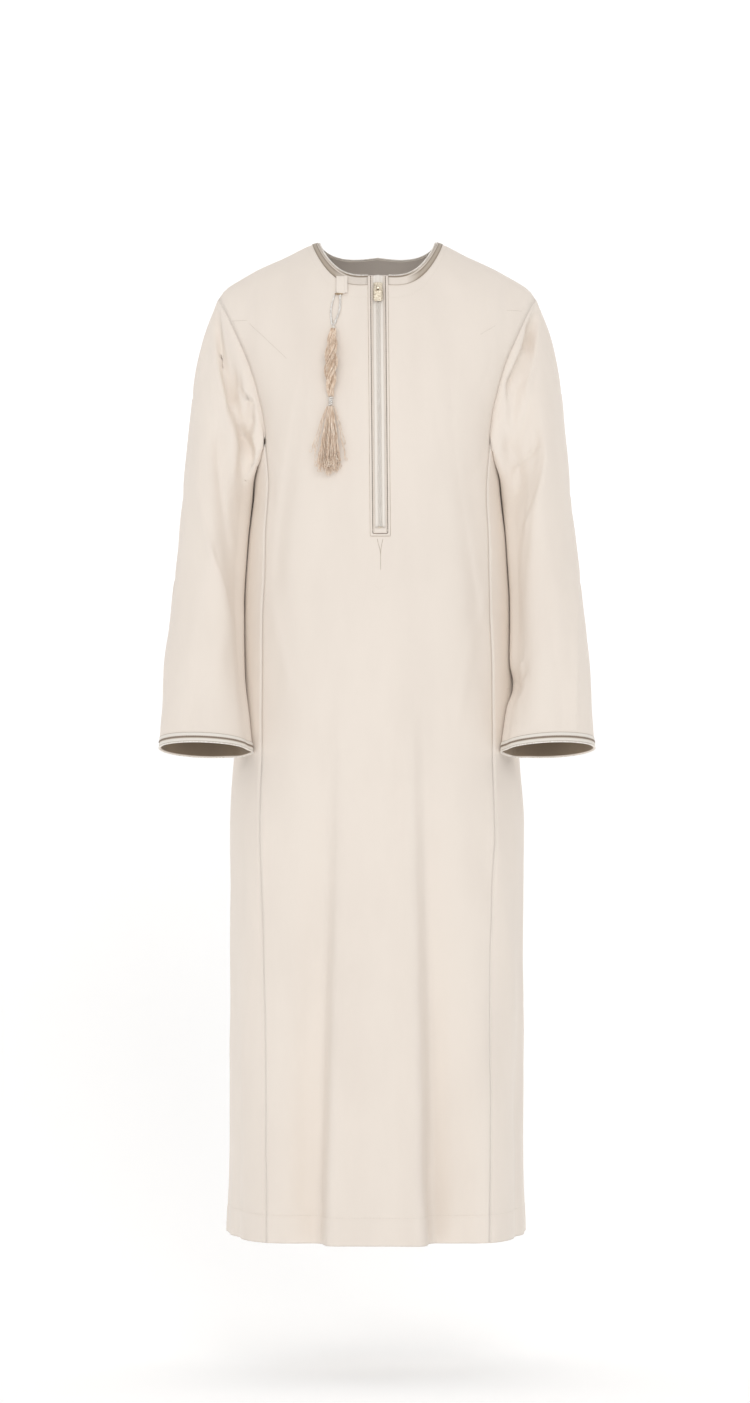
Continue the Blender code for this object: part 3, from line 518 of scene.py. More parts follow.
# taupe-brown facing cloth inside the cuff, whose dark colour also paints the shade inside the sleeve's
# opening
CUFF_LINING_AND_SHADE = Suiting("cuff_lining", Slot.TAUPE, (0.36, 0.28, 0.20), 0.60,
                      shade=(0.26, 0.20, 0.145), sheen=0.3)
SATIN_CORD = Yarn("pale_satin_cord", Slot.PIPING, PALE, 0.45, dark=(0.62, 0.56, 0.49),
                  light=(0.95, 0.92, 0.88))
BROWN_THREAD = Yarn("brown_thread", Slot.TAUPE, BROWN, 0.55, dark=(0.09, 0.06, 0.04),
                    light=(0.32, 0.24, 0.17))
TAUPE_THREAD = Yarn("taupe_thread", Slot.TAUPE, (0.46, 0.38, 0.30), 0.60, dark=(0.32, 0.25, 0.19),
                    light=(0.62, 0.54, 0.45))
CREAM_THREAD = Yarn("cream_thread", Slot.CLOTH, (0.72, 0.65, 0.57), 0.60, dark=(0.60, 0.53, 0.46),
                    light=(0.85, 0.79, 0.72))
SILVER_THREAD = Yarn("silver_thread", Slot.SILVER, (0.80, 0.77, 0.73), 0.32, metallic=0.25,
                     dark=(0.48, 0.43, 0.38), light=(0.98, 0.97, 0.95))
FLOSS = Yarn("tassel_floss", Slot.FLOSS, (0.80, 0.63, 0.49), 0.45, dark=(0.58, 0.42, 0.29),
             light=(0.98, 0.88, 0.76), grain=700.0)
# darker floss for the skein's core, painting the shade deep among the strands
FLOSS_PAINTED_SHADE = Yarn("tassel_floss_shade", Slot.FLOSS, (0.56, 0.42, 0.30), 0.65, dark=(0.42, 0.30, 0.20),
                  light=(0.68, 0.53, 0.40), grain=700.0)
GOLD_THREAD = Yarn("gold_brown_thread", Slot.FLOSS, (0.40, 0.28, 0.16), 0.45, metallic=0.2,
                   dark=(0.22, 0.14, 0.08), light=(0.66, 0.50, 0.31))
ZIP_TAPE = Suiting("zip_tape_weave", Slot.TAPE, (0.84, 0.79, 0.73), 0.80,
                   shade=(0.76, 0.71, 0.65), thread=0.0009)
ZIP_TEETH = Yarn("zip_teeth", Slot.TAPE, (0.86, 0.82, 0.77), 0.35, dark=(0.70, 0.65, 0.59),
                 light=(0.95, 0.93, 0.90))
ZIP_METAL = Plating("zip_plating", Slot.METAL, (0.86, 0.78, 0.64), 0.32)


# Meshes

class Workshop:
    """Makes mesh objects and dresses them, one material a finish."""

    def __init__(self) -> None:
        """Start with no materials."""
        self.materials: dict[str, bpy.types.Material] = {}

    def material(self, finish: Finish) -> bpy.types.Material:
        """The finish's material, made once.

        Args:
            finish: the finish.

        Returns:
            The material.
        """
        if finish.name not in self.materials:
            self.materials[finish.name] = finish.build()
        return self.materials[finish.name]

    def piece(self, name: str, places: Array, faces: Sequence[Array], finish: Finish,
              uv: Sequence[Array] | None = None, body: Body = Body.ROBE,
              rim: int = 0) -> bpy.types.Object:
        """Make a piece of the robe.

        Args:
            name: its name.
            places: its points, one a row.
            faces: arrays of faces as rows of point numbers, one array for each number of corners.
            finish: its finish.
            uv: for each array of faces, the two coordinates of each corner.
            body: what it rides on.
            rim: how many of the last faces are flat, so that the faces beside them keep their tone.

        Returns:
            The object.
        """
        corners = np.concatenate([face.ravel() for face in faces]).astype(np.int32)
        counts = np.concatenate([np.full(len(face), face.shape[1]) for face in faces])
        mesh = bpy.data.meshes.new(name)
        mesh.vertices.add(len(places))
        mesh.vertices.foreach_set("co", np.ascontiguousarray(places, np.float32).ravel())
        mesh.loops.add(len(corners))
        mesh.loops.foreach_set("vertex_index", corners)
        mesh.polygons.add(len(counts))
        starts = np.concatenate([[0], np.cumsum(counts)[:-1]]).astype(np.int32)
        mesh.polygons.foreach_set("loop_start", starts)
        mesh.polygons.foreach_set("use_smooth", np.arange(len(counts)) < len(counts) - rim)
        mesh.update(calc_edges=True)
        if uv is not None:
            layer = mesh.uv_layers.new(name="cloth")
            flat = np.concatenate([part.reshape(-1, 2) for part in uv])
            layer.data.foreach_set("uv", flat.astype(np.float32).ravel())
        mesh.materials.append(self.material(finish))
        made = bpy.data.objects.new(name, mesh)
        bpy.context.scene.collection.objects.link(made)
        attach(made, body.value)
        LOG.info("%s: %d faces in %s", name, len(counts), finish.name)
        return made

    def tubes(self, name: str, paths: Array, radii: Array | float, sides: int, finish: Finish,
              normals: Array | None = None, closed: bool = False,
              body: Body = Body.ROBE) -> bpy.types.Object:
        """Make round strands. Each point is the path's point plus the radius times the cosine of
        the angle along one axis and its sine along another, both square to the path.

        Args:
            name: the piece's name.
            paths: points of each strand: strands, stations, 3.
            radii: the radius, or one for each strand and station.
            sides: how many sides a strand has.
            finish: its finish.
            normals: an axis square to each path, or None for one from the tangent and Y.
            closed: whether each strand joins up with its own start.
            body: what it rides on.

        Returns:
            The object.
        """
        paths = np.asarray(paths, float)
        count, stations = paths.shape[:2]
        if closed:
            ahead, behind = np.roll(paths, -1, axis=1), np.roll(paths, 1, axis=1)
            tangent = unit(ahead - behind)
        else:
            tangent = unit(np.gradient(paths, axis=1))
        guide = np.array([0.0, 1.0, 0.0]) if normals is None else normals
        first = unit(np.cross(tangent, guide))
        second = np.cross(tangent, first)
        angle = np.linspace(0, 2 * math.pi, sides, endpoint=False)
        radii = np.broadcast_to(np.asarray(radii, float), (count, stations))[..., None, None]
        ring = np.cos(angle)[:, None] * first[:, :, None] + np.sin(angle)[:, None] * second[:, :, None]
        places = (paths[:, :, None] + radii * ring).reshape(-1, 3)
        index = np.arange(count * stations * sides).reshape(count, stations, sides)
        if closed:
            index = np.concatenate([index, index[:, :1]], axis=1)
        around = np.roll(index, -1, axis=2)
        quads = np.stack([index[:, :-1], around[:, :-1], around[:, 1:], index[:, 1:]], -1)
        faces = [quads.reshape(-1, 4)]
        if not closed:
            faces += [index[:, 0, ::-1], index[:, -1]]
        return self.piece(name, places, faces, finish, body=body)

    def stitches(self, name: str, path: Array, normals: Array, finish: Finish, length: float,
                 gap: float, radius: float, lift: float = 0.0) -> bpy.types.Object:
        """Make a row of stitches: short spindles, each along the path, sunk at both ends.

        Args:
            name: the piece's name.
            path: points of the row.
            normals: the cloth's normal at each point.
            finish: the thread's finish.
            length: the length of one stitch.
            gap: the length between two.
            radius: the thread's radius.
            lift: how far the row is moved out of the cloth.

        Returns:
            The object.
        """
        middles, leaning = resampled(path, length + gap, normals)
        leaning = unit(leaning)
        tangent = unit(np.gradient(middles, axis=0))
        part = np.array([-1.0, -0.6, 0.0, 0.6, 1.0])
        out = radius * (0.75 - 1.3 * part ** 4)[None, :, None] + lift
        paths = (middles[:, None] + tangent[:, None] * (part * length / 2)[None, :, None]
                 + leaning[:, None] * out)
        swell = radius * np.array([0.45, 0.85, 1.0, 0.85, 0.45])
        return self.tubes(name, paths, swell[None], 5, finish,
                          normals=np.repeat(leaning[:, None], len(part), 1))


@dataclass
class Sheet:
    """Cloth as a grid of points on its outer face, whose columns and rows run so that it faces
    out. Cells that are not kept are open, and a closed sheet joins up round a tube.

    Attributes:
        points: rows, columns, 3.
        keep: which cells are cloth, or None for all.
        closed: whether the last column joins the first.
        normals: outward normals at the points.
    """

    points: Array
    keep: Array | None = None
    closed: bool = False
    normals: Array = field(default=None)

    def __post_init__(self) -> None:
        """Number the kept cells and work out the normals if none are given."""
        rows, columns = self.points.shape[:2]
        self.index = np.arange(rows * columns).reshape(rows, columns)
        if self.closed:
            self.index = np.concatenate([self.index, self.index[:, :1]], axis=1)
        if self.keep is None:
            self.keep = np.ones((self.index.shape[0] - 1, self.index.shape[1] - 1), bool)
        if self.normals is None:
            self.normals = shared_normals([self])[0]

    def cells(self, grid: Array) -> Array:
        """A grid's values at the four corners of each kept cell."""
        corners = (grid[:-1, :-1], grid[:-1, 1:], grid[1:, 1:], grid[1:, :-1])
        return np.stack([corner[self.keep] for corner in corners], 1)

    def flat_places(self) -> Array:
        """Coordinates on the flat cloth: the length along the rows, from the middle, and the
        length along the columns, in metres, with one column more on a closed sheet.

        Returns:
            Two coordinates a point.
        """
        points = self.points
        if self.closed:
            points = np.concatenate([points, points[:, :1]], axis=1)
        along = span_from(points, 1, False)
        along = along - along[:, points.shape[1] // 2][:, None]
        up = span_from(points, 0, False).mean(axis=1, keepdims=True)
        return np.stack(np.broadcast_arrays(along, up), axis=-1)

    def cut(self) -> tuple[float, float, float]:
        """The width, length and area of the flat cut, from the lengths along its grid.

        Returns:
            Width, length and area.
        """
        corner = self.cells(self.index)
        places = self.points.reshape(-1, 3)[corner]
        halves = (np.cross(places[:, 1] - places[:, 0], places[:, 2] - places[:, 0]),
                  np.cross(places[:, 2] - places[:, 0], places[:, 3] - places[:, 0]))
        area = sum(np.linalg.norm(half, axis=1).sum() / 2 for half in halves)
        flat = self.flat_places()
        used = np.unique(corner)
        rows, columns = np.unravel_index(used, self.points.shape[:2])
        along = flat[rows, columns, 0]
        width = along.max() - along.min()
        if self.closed:
            width = np.ptp(flat[..., 0], axis=1).max()
        return float(width), float(np.ptp(flat[rows, columns, 1])), float(area)

    def stretch(self, rows: slice, columns: slice, keep: Array | None = None) -> Sheet:
        """A stretch of the sheet with the same points and normals."""
        return Sheet(self.points[rows, columns], keep, self.closed, self.normals[rows, columns])

    def moved(self, distance: Array | float) -> Sheet:
        """The sheet moved out along its normals, which it keeps.

        Args:
            distance: how far, as one length or one for each point.

        Returns:
            The moved sheet.
        """
        distance = np.broadcast_to(np.asarray(distance, float), self.points.shape[:2])
        points = self.points + self.normals * distance[..., None]
        return Sheet(points, self.keep, self.closed, self.normals)

    def sewn(self, shop: Workshop, name: str, finish: Finish, out: float, thick: Array | float,
             flat: Array | None = None, pull: float = SEWN_GAP / 2,
             body: Body = Body.ROBE) -> bpy.types.Object:
        """Make the sheet's wall: an outer face, an inner face below it and a rim round its edges,
        which are drawn in so that neighbours keep a gap.

        Args:
            shop: what makes the piece.
            name: the piece's name.
            finish: its finish.
            out: how far the outer face stands out.
            thick: the wall's thickness, or one for each row.
            flat: the coordinates for the finish, or None for those on the flat cloth.
            pull: how far the edges are drawn in.
            body: what it rides on.

        Returns:
            The object.
        """
        outer = self.cells(self.index)
        shift = self.points.shape[0] * self.points.shape[1]
        start, end = outer.ravel(), np.roll(outer, -1, axis=1).ravel()
        free = ~np.isin(start * shift + end, end * shift + start)
        rim = np.stack([start[free], end[free]], 1)
        places, normals = self.points.reshape(-1, 3), self.normals.reshape(-1, 3)
        places = drawn_in(places, normals, rim, pull)
        thick = np.broadcast_to(np.asarray(thick, float), self.points.shape[:1])
        depth = np.repeat(thick, self.points.shape[1])[:, None]
        both = np.concatenate([places + normals * out, places + normals * (out - depth)])
        band = np.stack([rim[:, 1], rim[:, 0], rim[:, 0] + shift, rim[:, 1] + shift], 1)
        used, faces = np.unique(np.concatenate([outer, outer[:, ::-1] + shift, band]),
                                return_inverse=True)
        flat = self.flat_places() if flat is None else flat
        corner_uv = self.cells(flat)
        edge_uv = np.zeros((shift, 2))
        edge_uv[outer.ravel()] = corner_uv.reshape(-1, 2)
        band_uv = edge_uv[band % shift]
        uv = np.concatenate([corner_uv, corner_uv[:, ::-1], band_uv])
        return shop.piece(name, both[used], [faces.reshape(-1, 4)], finish, uv=[uv], body=body,
                          rim=len(band))


def shared_normals(sheets: Sequence[Sheet], apart: Sequence[tuple[int, Array]] = ()) -> list[Array]:
    """Outward normals of several sheets, the same wherever their points meet: the sum of the
    cross products of the cells' diagonals round each point, brought to length 1.

    Args:
        sheets: the sheets.
        apart: numbers of sheets with the columns in which their first row keeps its own normals.

    Returns:
        One array of normals for each sheet.
    """
    keys = [sheet.points.copy() for sheet in sheets]
    for number, columns in apart:
        keys[number][0, columns, 0] += number
    keys = np.concatenate([key.reshape(-1, 3) for key in keys])
    places = np.concatenate([sheet.points.reshape(-1, 3) for sheet in sheets])
    sizes = [sheet.points.shape[0] * sheet.points.shape[1] for sheet in sheets]
    firsts = np.concatenate([[0], np.cumsum(sizes)[:-1]])
    faces = np.concatenate([sheet.cells(sheet.index) + first for sheet, first in zip(sheets, firsts)])
    group = np.unique(np.round(keys, 6), axis=0, return_inverse=True)[1].ravel()
    corner = places[faces]
    leaning = np.cross(corner[:, 2] - corner[:, 0], corner[:, 3] - corner[:, 1])
    summed = np.zeros((group.max() + 1, 3))
    for k in range(4):
        np.add.at(summed, group[faces[:, k]], leaning)
    flat = unit(summed)[group]
    return [part.reshape(sheet.points.shape)
            for part, sheet in zip(np.split(flat, np.cumsum(sizes)[:-1]), sheets)]


def drawn_in(places: Array, normals: Array, rim: Array, pull: float) -> Array:
    """Points with those along a rim moved in, square to the edges that meet at each.

    Args:
        places: the points.
        normals: their normals.
        rim: the edges, as start and end numbers, with the cloth on their left.
        pull: how far they move.

    Returns:
        The points, moved.
    """
    start, end = rim[:, 0], rim[:, 1]
    square = unit(np.cross(normals[start] + normals[end], places[end] - places[start]))
    leaving, arriving = np.zeros_like(places), np.zeros_like(places)
    leaving[start], arriving[end] = square, square
    along = np.sum(leaving * arriving, axis=1, keepdims=True)
    return places + (leaving + arriving) / (1 + np.maximum(along, -0.5)) * pull


# The robe's form

TORSO = table("height half_width front back seam_share", [
    (-1.365, 0.2020, 0.158, 0.150, 0.74),
    (-1.240, 0.2005, 0.152, 0.146, 0.75),
    (-1.080, 0.2000, 0.146, 0.140, 0.76),
    (-0.900, 0.2010, 0.140, 0.133, 0.77),
    (-0.800, 0.2020, 0.137, 0.128, 0.78),
    (-0.700, 0.1960, 0.135, 0.120, 0.80),
    (-0.620, 0.1915, 0.134, 0.114, 0.82),
    (-0.516, 0.1860, 0.133, 0.110, 0.84),
    (-0.410, 0.1785, 0.130, 0.112, 0.86),
    (-0.330, 0.1705, 0.127, 0.116, 0.88),
    (-0.280, 0.1720, 0.124, 0.118, 0.90),
])
SHOULDER = table("across height", [
    (0.0000, 0.0120),
    (0.0815, -0.0010),
    (0.1240, -0.0200),
    (0.1630, -0.0370),
    (0.1900, -0.0525),
    (0.2080, -0.0645),
    (0.2195, -0.0780),
])
SLEEVE = table("along out_x out_z in_x in_z mid_y half_depth lift", [
    (0.00, 0.2195, -0.078, 0.1720, -0.300, 0.000, 0.066, 0.000),
    (0.12, 0.2410, -0.136, 0.1780, -0.326, 0.002, 0.078, 0.000),
    (0.25, 0.2520, -0.192, 0.1765, -0.350, 0.004, 0.085, 0.000),
    (0.40, 0.2615, -0.272, 0.1785, -0.390, 0.002, 0.085, 0.002),
    (0.55, 0.2705, -0.370, 0.1830, -0.445, -0.008, 0.078, 0.006),
    (0.70, 0.2800, -0.470, 0.1885, -0.505, -0.028, 0.068, 0.010),
    (0.85, 0.2880, -0.575, 0.1870, -0.590, -0.060, 0.056, 0.012),
    (1.00, 0.2955, -0.696, 0.1745, -0.700, -0.095, 0.043, 0.011),
])

# A fold runs from a top place to a low one, bowed by its bow; a rise below zero is a trough
FOLD_COLUMNS = "top_across top_z low_across low_z inner_width outer_width top_rise low_rise bow"
FOLD_AXES = {
    "front": (0, (0.0, -1.0, 0.0)),
    "back": (0, (0.0, 1.0, 0.0)),
    "left": (1, (1.0, 0.0, 0.0)),
    "right": (1, (-1.0, 0.0, 0.0)),
}
MAIN_BODY_FOLDS = {
    "front": table(FOLD_COLUMNS, [
        (-0.068, -0.72, -0.091, -1.40, 0.018, 0.036, -0.002, -0.040, 0),
        (0.066, -0.72, 0.087, -1.40, 0.018, 0.038, -0.002, -0.046, 0),
        (-0.050, -0.70, -0.068, -1.40, 0.020, 0.008, 0.002, 0.009, 0),
        (0.048, -0.70, 0.064, -1.40, 0.020, 0.008, 0.003, 0.012, 0),
        (-0.158, -0.80, -0.190, -1.10, 0.014, 0.014, 0.004, 0.005, 0),
        (0.160, -0.82, 0.194, -1.10, 0.014, 0.014, 0.005, 0.005, 0),
        (0.138, -0.95, 0.156, -1.40, 0.020, 0.020, 0.001, 0.007, 0),
        (-0.106, -0.19, -0.141, -0.44, 0.016, 0.024, -0.003, -0.006, 0),
        (0.108, -0.20, 0.142, -0.50, 0.016, 0.024, -0.003, -0.006, 0),
        (-0.178, -0.086, -0.178, -0.17, 0.012, 0.012, -0.004, -0.002, 0),
        (0.176, -0.076, 0.176, -0.16, 0.012, 0.012, -0.004, -0.002, 0),
        (-0.060, -0.45, -0.030, -0.70, 0.035, 0.035, 0.001, 0.004, 0),
        (0.020, -0.42, 0.045, -0.70, 0.030, 0.030, 0.001, 0.004, 0),
    ]),
    "back": table(FOLD_COLUMNS, [
        (-0.050, -0.60, -0.070, -1.40, 0.016, 0.036, -0.002, -0.030, 0),
        (0.056, -0.62, 0.074, -1.40, 0.016, 0.036, -0.002, -0.034, 0),
        (-0.004, -0.40, 0.006, -1.40, 0.034, 0.034, 0.002, 0.012, 0),
        (-0.120, -0.55, -0.150, -1.20, 0.020, 0.024, 0.003, 0.006, 0),
        (0.122, -0.50, 0.150, -1.25, 0.020, 0.024, 0.003, 0.006, 0),
        (-0.120, -0.12, -0.090, -0.40, 0.022, 0.022, -0.003, -0.005, 0),
        (0.118, -0.13, 0.092, -0.42, 0.022, 0.022, -0.003, -0.005, 0),
    ]),
    "left": table(FOLD_COLUMNS, [
        (0.020, -0.66, 0.036, -1.40, 0.020, 0.028, 0.000, 0.007, 0),
        (-0.040, -0.80, -0.052, -1.40, 0.018, 0.018, 0.000, -0.009, 0),
    ]),
    "right": table(FOLD_COLUMNS, [
        (0.014, -0.68, 0.030, -1.40, 0.020, 0.028, 0.000, 0.008, 0),
        (-0.044, -0.82, -0.056, -1.40, 0.018, 0.018, 0.000, -0.008, 0),
    ]),
}
MAIN_SLEEVE_FOLDS = {
    Side.RIGHT: {
        "front": table(FOLD_COLUMNS, [
            (-0.219, -0.10, -0.176, -0.27, 0.012, 0.012, -0.010, -0.008, 0),
            (-0.243, -0.31, -0.203, -0.52, 0.010, 0.018, 0.004, 0.007, 0),
            (-0.216, -0.30, -0.194, -0.46, 0.014, 0.010, -0.009, -0.003, 0),
            (-0.232, -0.12, -0.246, -0.26, 0.010, 0.010, -0.003, 0.000, 0),
        ]),
        "back": table(FOLD_COLUMNS, [
            (-0.214, -0.12, -0.182, -0.28, 0.014, 0.014, -0.008, -0.006, 0),
            (-0.250, -0.26, -0.214, -0.40, 0.012, 0.012, -0.005, -0.006, 0),
            (-0.220, -0.46, -0.252, -0.54, 0.012, 0.012, -0.005, -0.005, 0),
        ]),
        "right": table(FOLD_COLUMNS, [
            (0.020, -0.20, -0.020, -0.42, 0.012, 0.012, -0.004, -0.004, 0),
        ]),
    },
    Side.LEFT: {
        "front": table(FOLD_COLUMNS, [
            (0.214, -0.10, 0.180, -0.24, 0.012, 0.012, -0.011, -0.008, 0),
            (0.205, -0.30, 0.196, -0.36, 0.020, 0.020, -0.012, -0.006, 0),
            (0.229, -0.30, 0.203, -0.52, 0.010, 0.016, 0.005, 0.007, 0),
            (0.196, -0.575, 0.188, -0.62, 0.010, 0.014, -0.007, -0.005, 0),
            (0.273, -0.44, 0.268, -0.66, 0.006, 0.006, 0.003, 0.003, 0),
        ]),
        "back": table(FOLD_COLUMNS, [
            (0.212, -0.12, 0.184, -0.28, 0.014, 0.014, -0.008, -0.006, 0),
            (0.252, -0.28, 0.216, -0.41, 0.012, 0.012, -0.005, -0.006, 0),
            (0.222, -0.47, 0.254, -0.55, 0.012, 0.012, -0.005, -0.005, 0),
        ]),
        "left": table(FOLD_COLUMNS, [
            (0.022, -0.21, -0.018, -0.43, 0.012, 0.012, -0.004, -0.004, 0),
        ]),
    },
}

# Finer creases, which only the looks have
FINE_BODY_FOLDS = {
    "front": table(FOLD_COLUMNS, [
        (-0.104, -0.185, -0.141, -0.44, 0.005, 0.012, 0.0012, 0.0020, 0.006),
        (0.106, -0.195, 0.144, -0.50, 0.005, 0.012, 0.0012, 0.0020, -0.006),
        (-0.171, -0.20, -0.141, -0.18, 0.004, 0.006, -0.0016, -0.0006, 0.004),
        (-0.160, -0.24, -0.118, -0.33, 0.006, 0.006, -0.0014, -0.0006, 0.006),
        (-0.156, -0.27, -0.136, -0.38, 0.005, 0.005, -0.0018, -0.0006, 0.004),
        (0.156, -0.165, 0.128, -0.23, 0.006, 0.006, -0.0014, -0.0005, 0.004),
        (0.162, -0.24, 0.128, -0.33, 0.006, 0.006, -0.0016, -0.0006, 0.006),
        (-0.148, -0.45, -0.120, -0.60, 0.008, 0.008, 0.0010, 0.0016, 0.004),
        (0.150, -0.48, 0.112, -0.64, 0.008, 0.008, 0.0010, 0.0016, -0.004),
        (-0.180, -0.795, -0.171, -0.93, 0.006, 0.006, 0.0024, 0.0020, 0.002),
        (-0.155, -0.81, -0.188, -1.14, 0.006, 0.010, 0.0024, 0.0026, -0.006),
        (0.186, -0.80, 0.196, -0.90, 0.006, 0.006, 0.0024, 0.0020, 0.002),
        (0.160, -0.82, 0.200, -1.09, 0.006, 0.010, 0.0024, 0.0022, -0.004),
        (-0.186, -1.18, -0.180, -1.29, 0.006, 0.006, 0.0018, 0.0012, 0.002),
        (-0.092, -0.90, -0.098, -1.30, 0.012, 0.016, -0.0010, -0.0030, 0.000),
        (0.110, -1.00, 0.116, -1.36, 0.012, 0.014, -0.0010, -0.0030, 0.000),
        (0.0615, -0.86, 0.0740, -1.40, 0.0040, 0.0030, 0.0004, 0.0022, 0.000),
        (0.146, -1.02, 0.158, -1.40, 0.010, 0.012, 0.0010, 0.0036, 0.000),
        (-0.136, -1.00, -0.150, -1.40, 0.012, 0.012, 0.0006, 0.0030, 0.000),
        (-0.020, -0.86, -0.014, -1.40, 0.030, 0.030, -0.0004, -0.0016, 0.004),
        (0.018, -0.55, 0.026, -0.80, 0.012, 0.012, -0.0006, -0.0010, 0.000),
        (-0.042, -0.12, -0.036, -0.30, 0.012, 0.012, -0.0004, -0.0012, 0.003),
        (0.052, -0.10, 0.060, -0.30, 0.014, 0.014, -0.0004, -0.0012, 0.004),
    ]),
    "back": table(FOLD_COLUMNS, [
        (-0.120, -0.10, -0.060, -0.115, 0.006, 0.008, -0.0012, -0.0010, 0.006),
        (0.116, -0.11, 0.058, -0.120, 0.006, 0.008, -0.0012, -0.0010, 0.006),
        (-0.160, -0.22, -0.110, -0.34, 0.006, 0.010, -0.0020, -0.0010, 0.006),
        (0.158, -0.21, 0.112, -0.36, 0.006, 0.010, -0.0020, -0.0010, 0.006),
        (-0.150, -0.48, -0.100, -0.58, 0.008, 0.010, -0.0016, -0.0012, 0.006),
        (0.148, -0.50, 0.094, -0.62, 0.008, 0.010, -0.0016, -0.0012, 0.006),
        (-0.075, -0.86, -0.104, -1.40, 0.008, 0.014, 0.0010, 0.0030, 0.004),
        (0.080, -0.80, 0.108, -1.40, 0.008, 0.014, 0.0010, 0.0034, 0.004),
        (-0.020, -0.70, -0.026, -1.40, 0.010, 0.012, -0.0006, -0.0030, 0.003),
        (0.030, -0.74, 0.034, -1.40, 0.010, 0.012, -0.0006, -0.0026, 0.003),
        (0.150, -0.92, 0.168, -1.40, 0.010, 0.012, 0.0010, 0.0034, 0.000),
        (-0.150, -0.96, -0.166, -1.40, 0.010, 0.012, 0.0010, 0.0030, 0.000),
    ]),
    "left": table(FOLD_COLUMNS, [
        (-0.010, -0.34, 0.020, -0.46, 0.008, 0.010, -0.0016, -0.0008, 0.004),
        (0.060, -0.90, 0.084, -1.40, 0.010, 0.012, -0.0008, -0.0034, 0.000),
        (-0.080, -0.86, -0.098, -1.40, 0.010, 0.012, 0.0006, 0.0026, 0.000),
        (-0.020, -0.84, -0.010, -1.20, 0.007, 0.009, 0.0010, 0.0018, 0.003),
    ]),
    "right": table(FOLD_COLUMNS, [
        (-0.006, -0.34, 0.024, -0.47, 0.008, 0.010, -0.0016, -0.0008, 0.004),
        (0.056, -0.92, 0.078, -1.40, 0.010, 0.012, -0.0008, -0.0030, 0.000),
        (-0.084, -0.90, -0.100, -1.40, 0.010, 0.012, 0.0006, 0.0028, 0.000),
        (-0.016, -0.86, -0.008, -1.22, 0.007, 0.009, 0.0010, 0.0018, 0.003),
    ]),
}
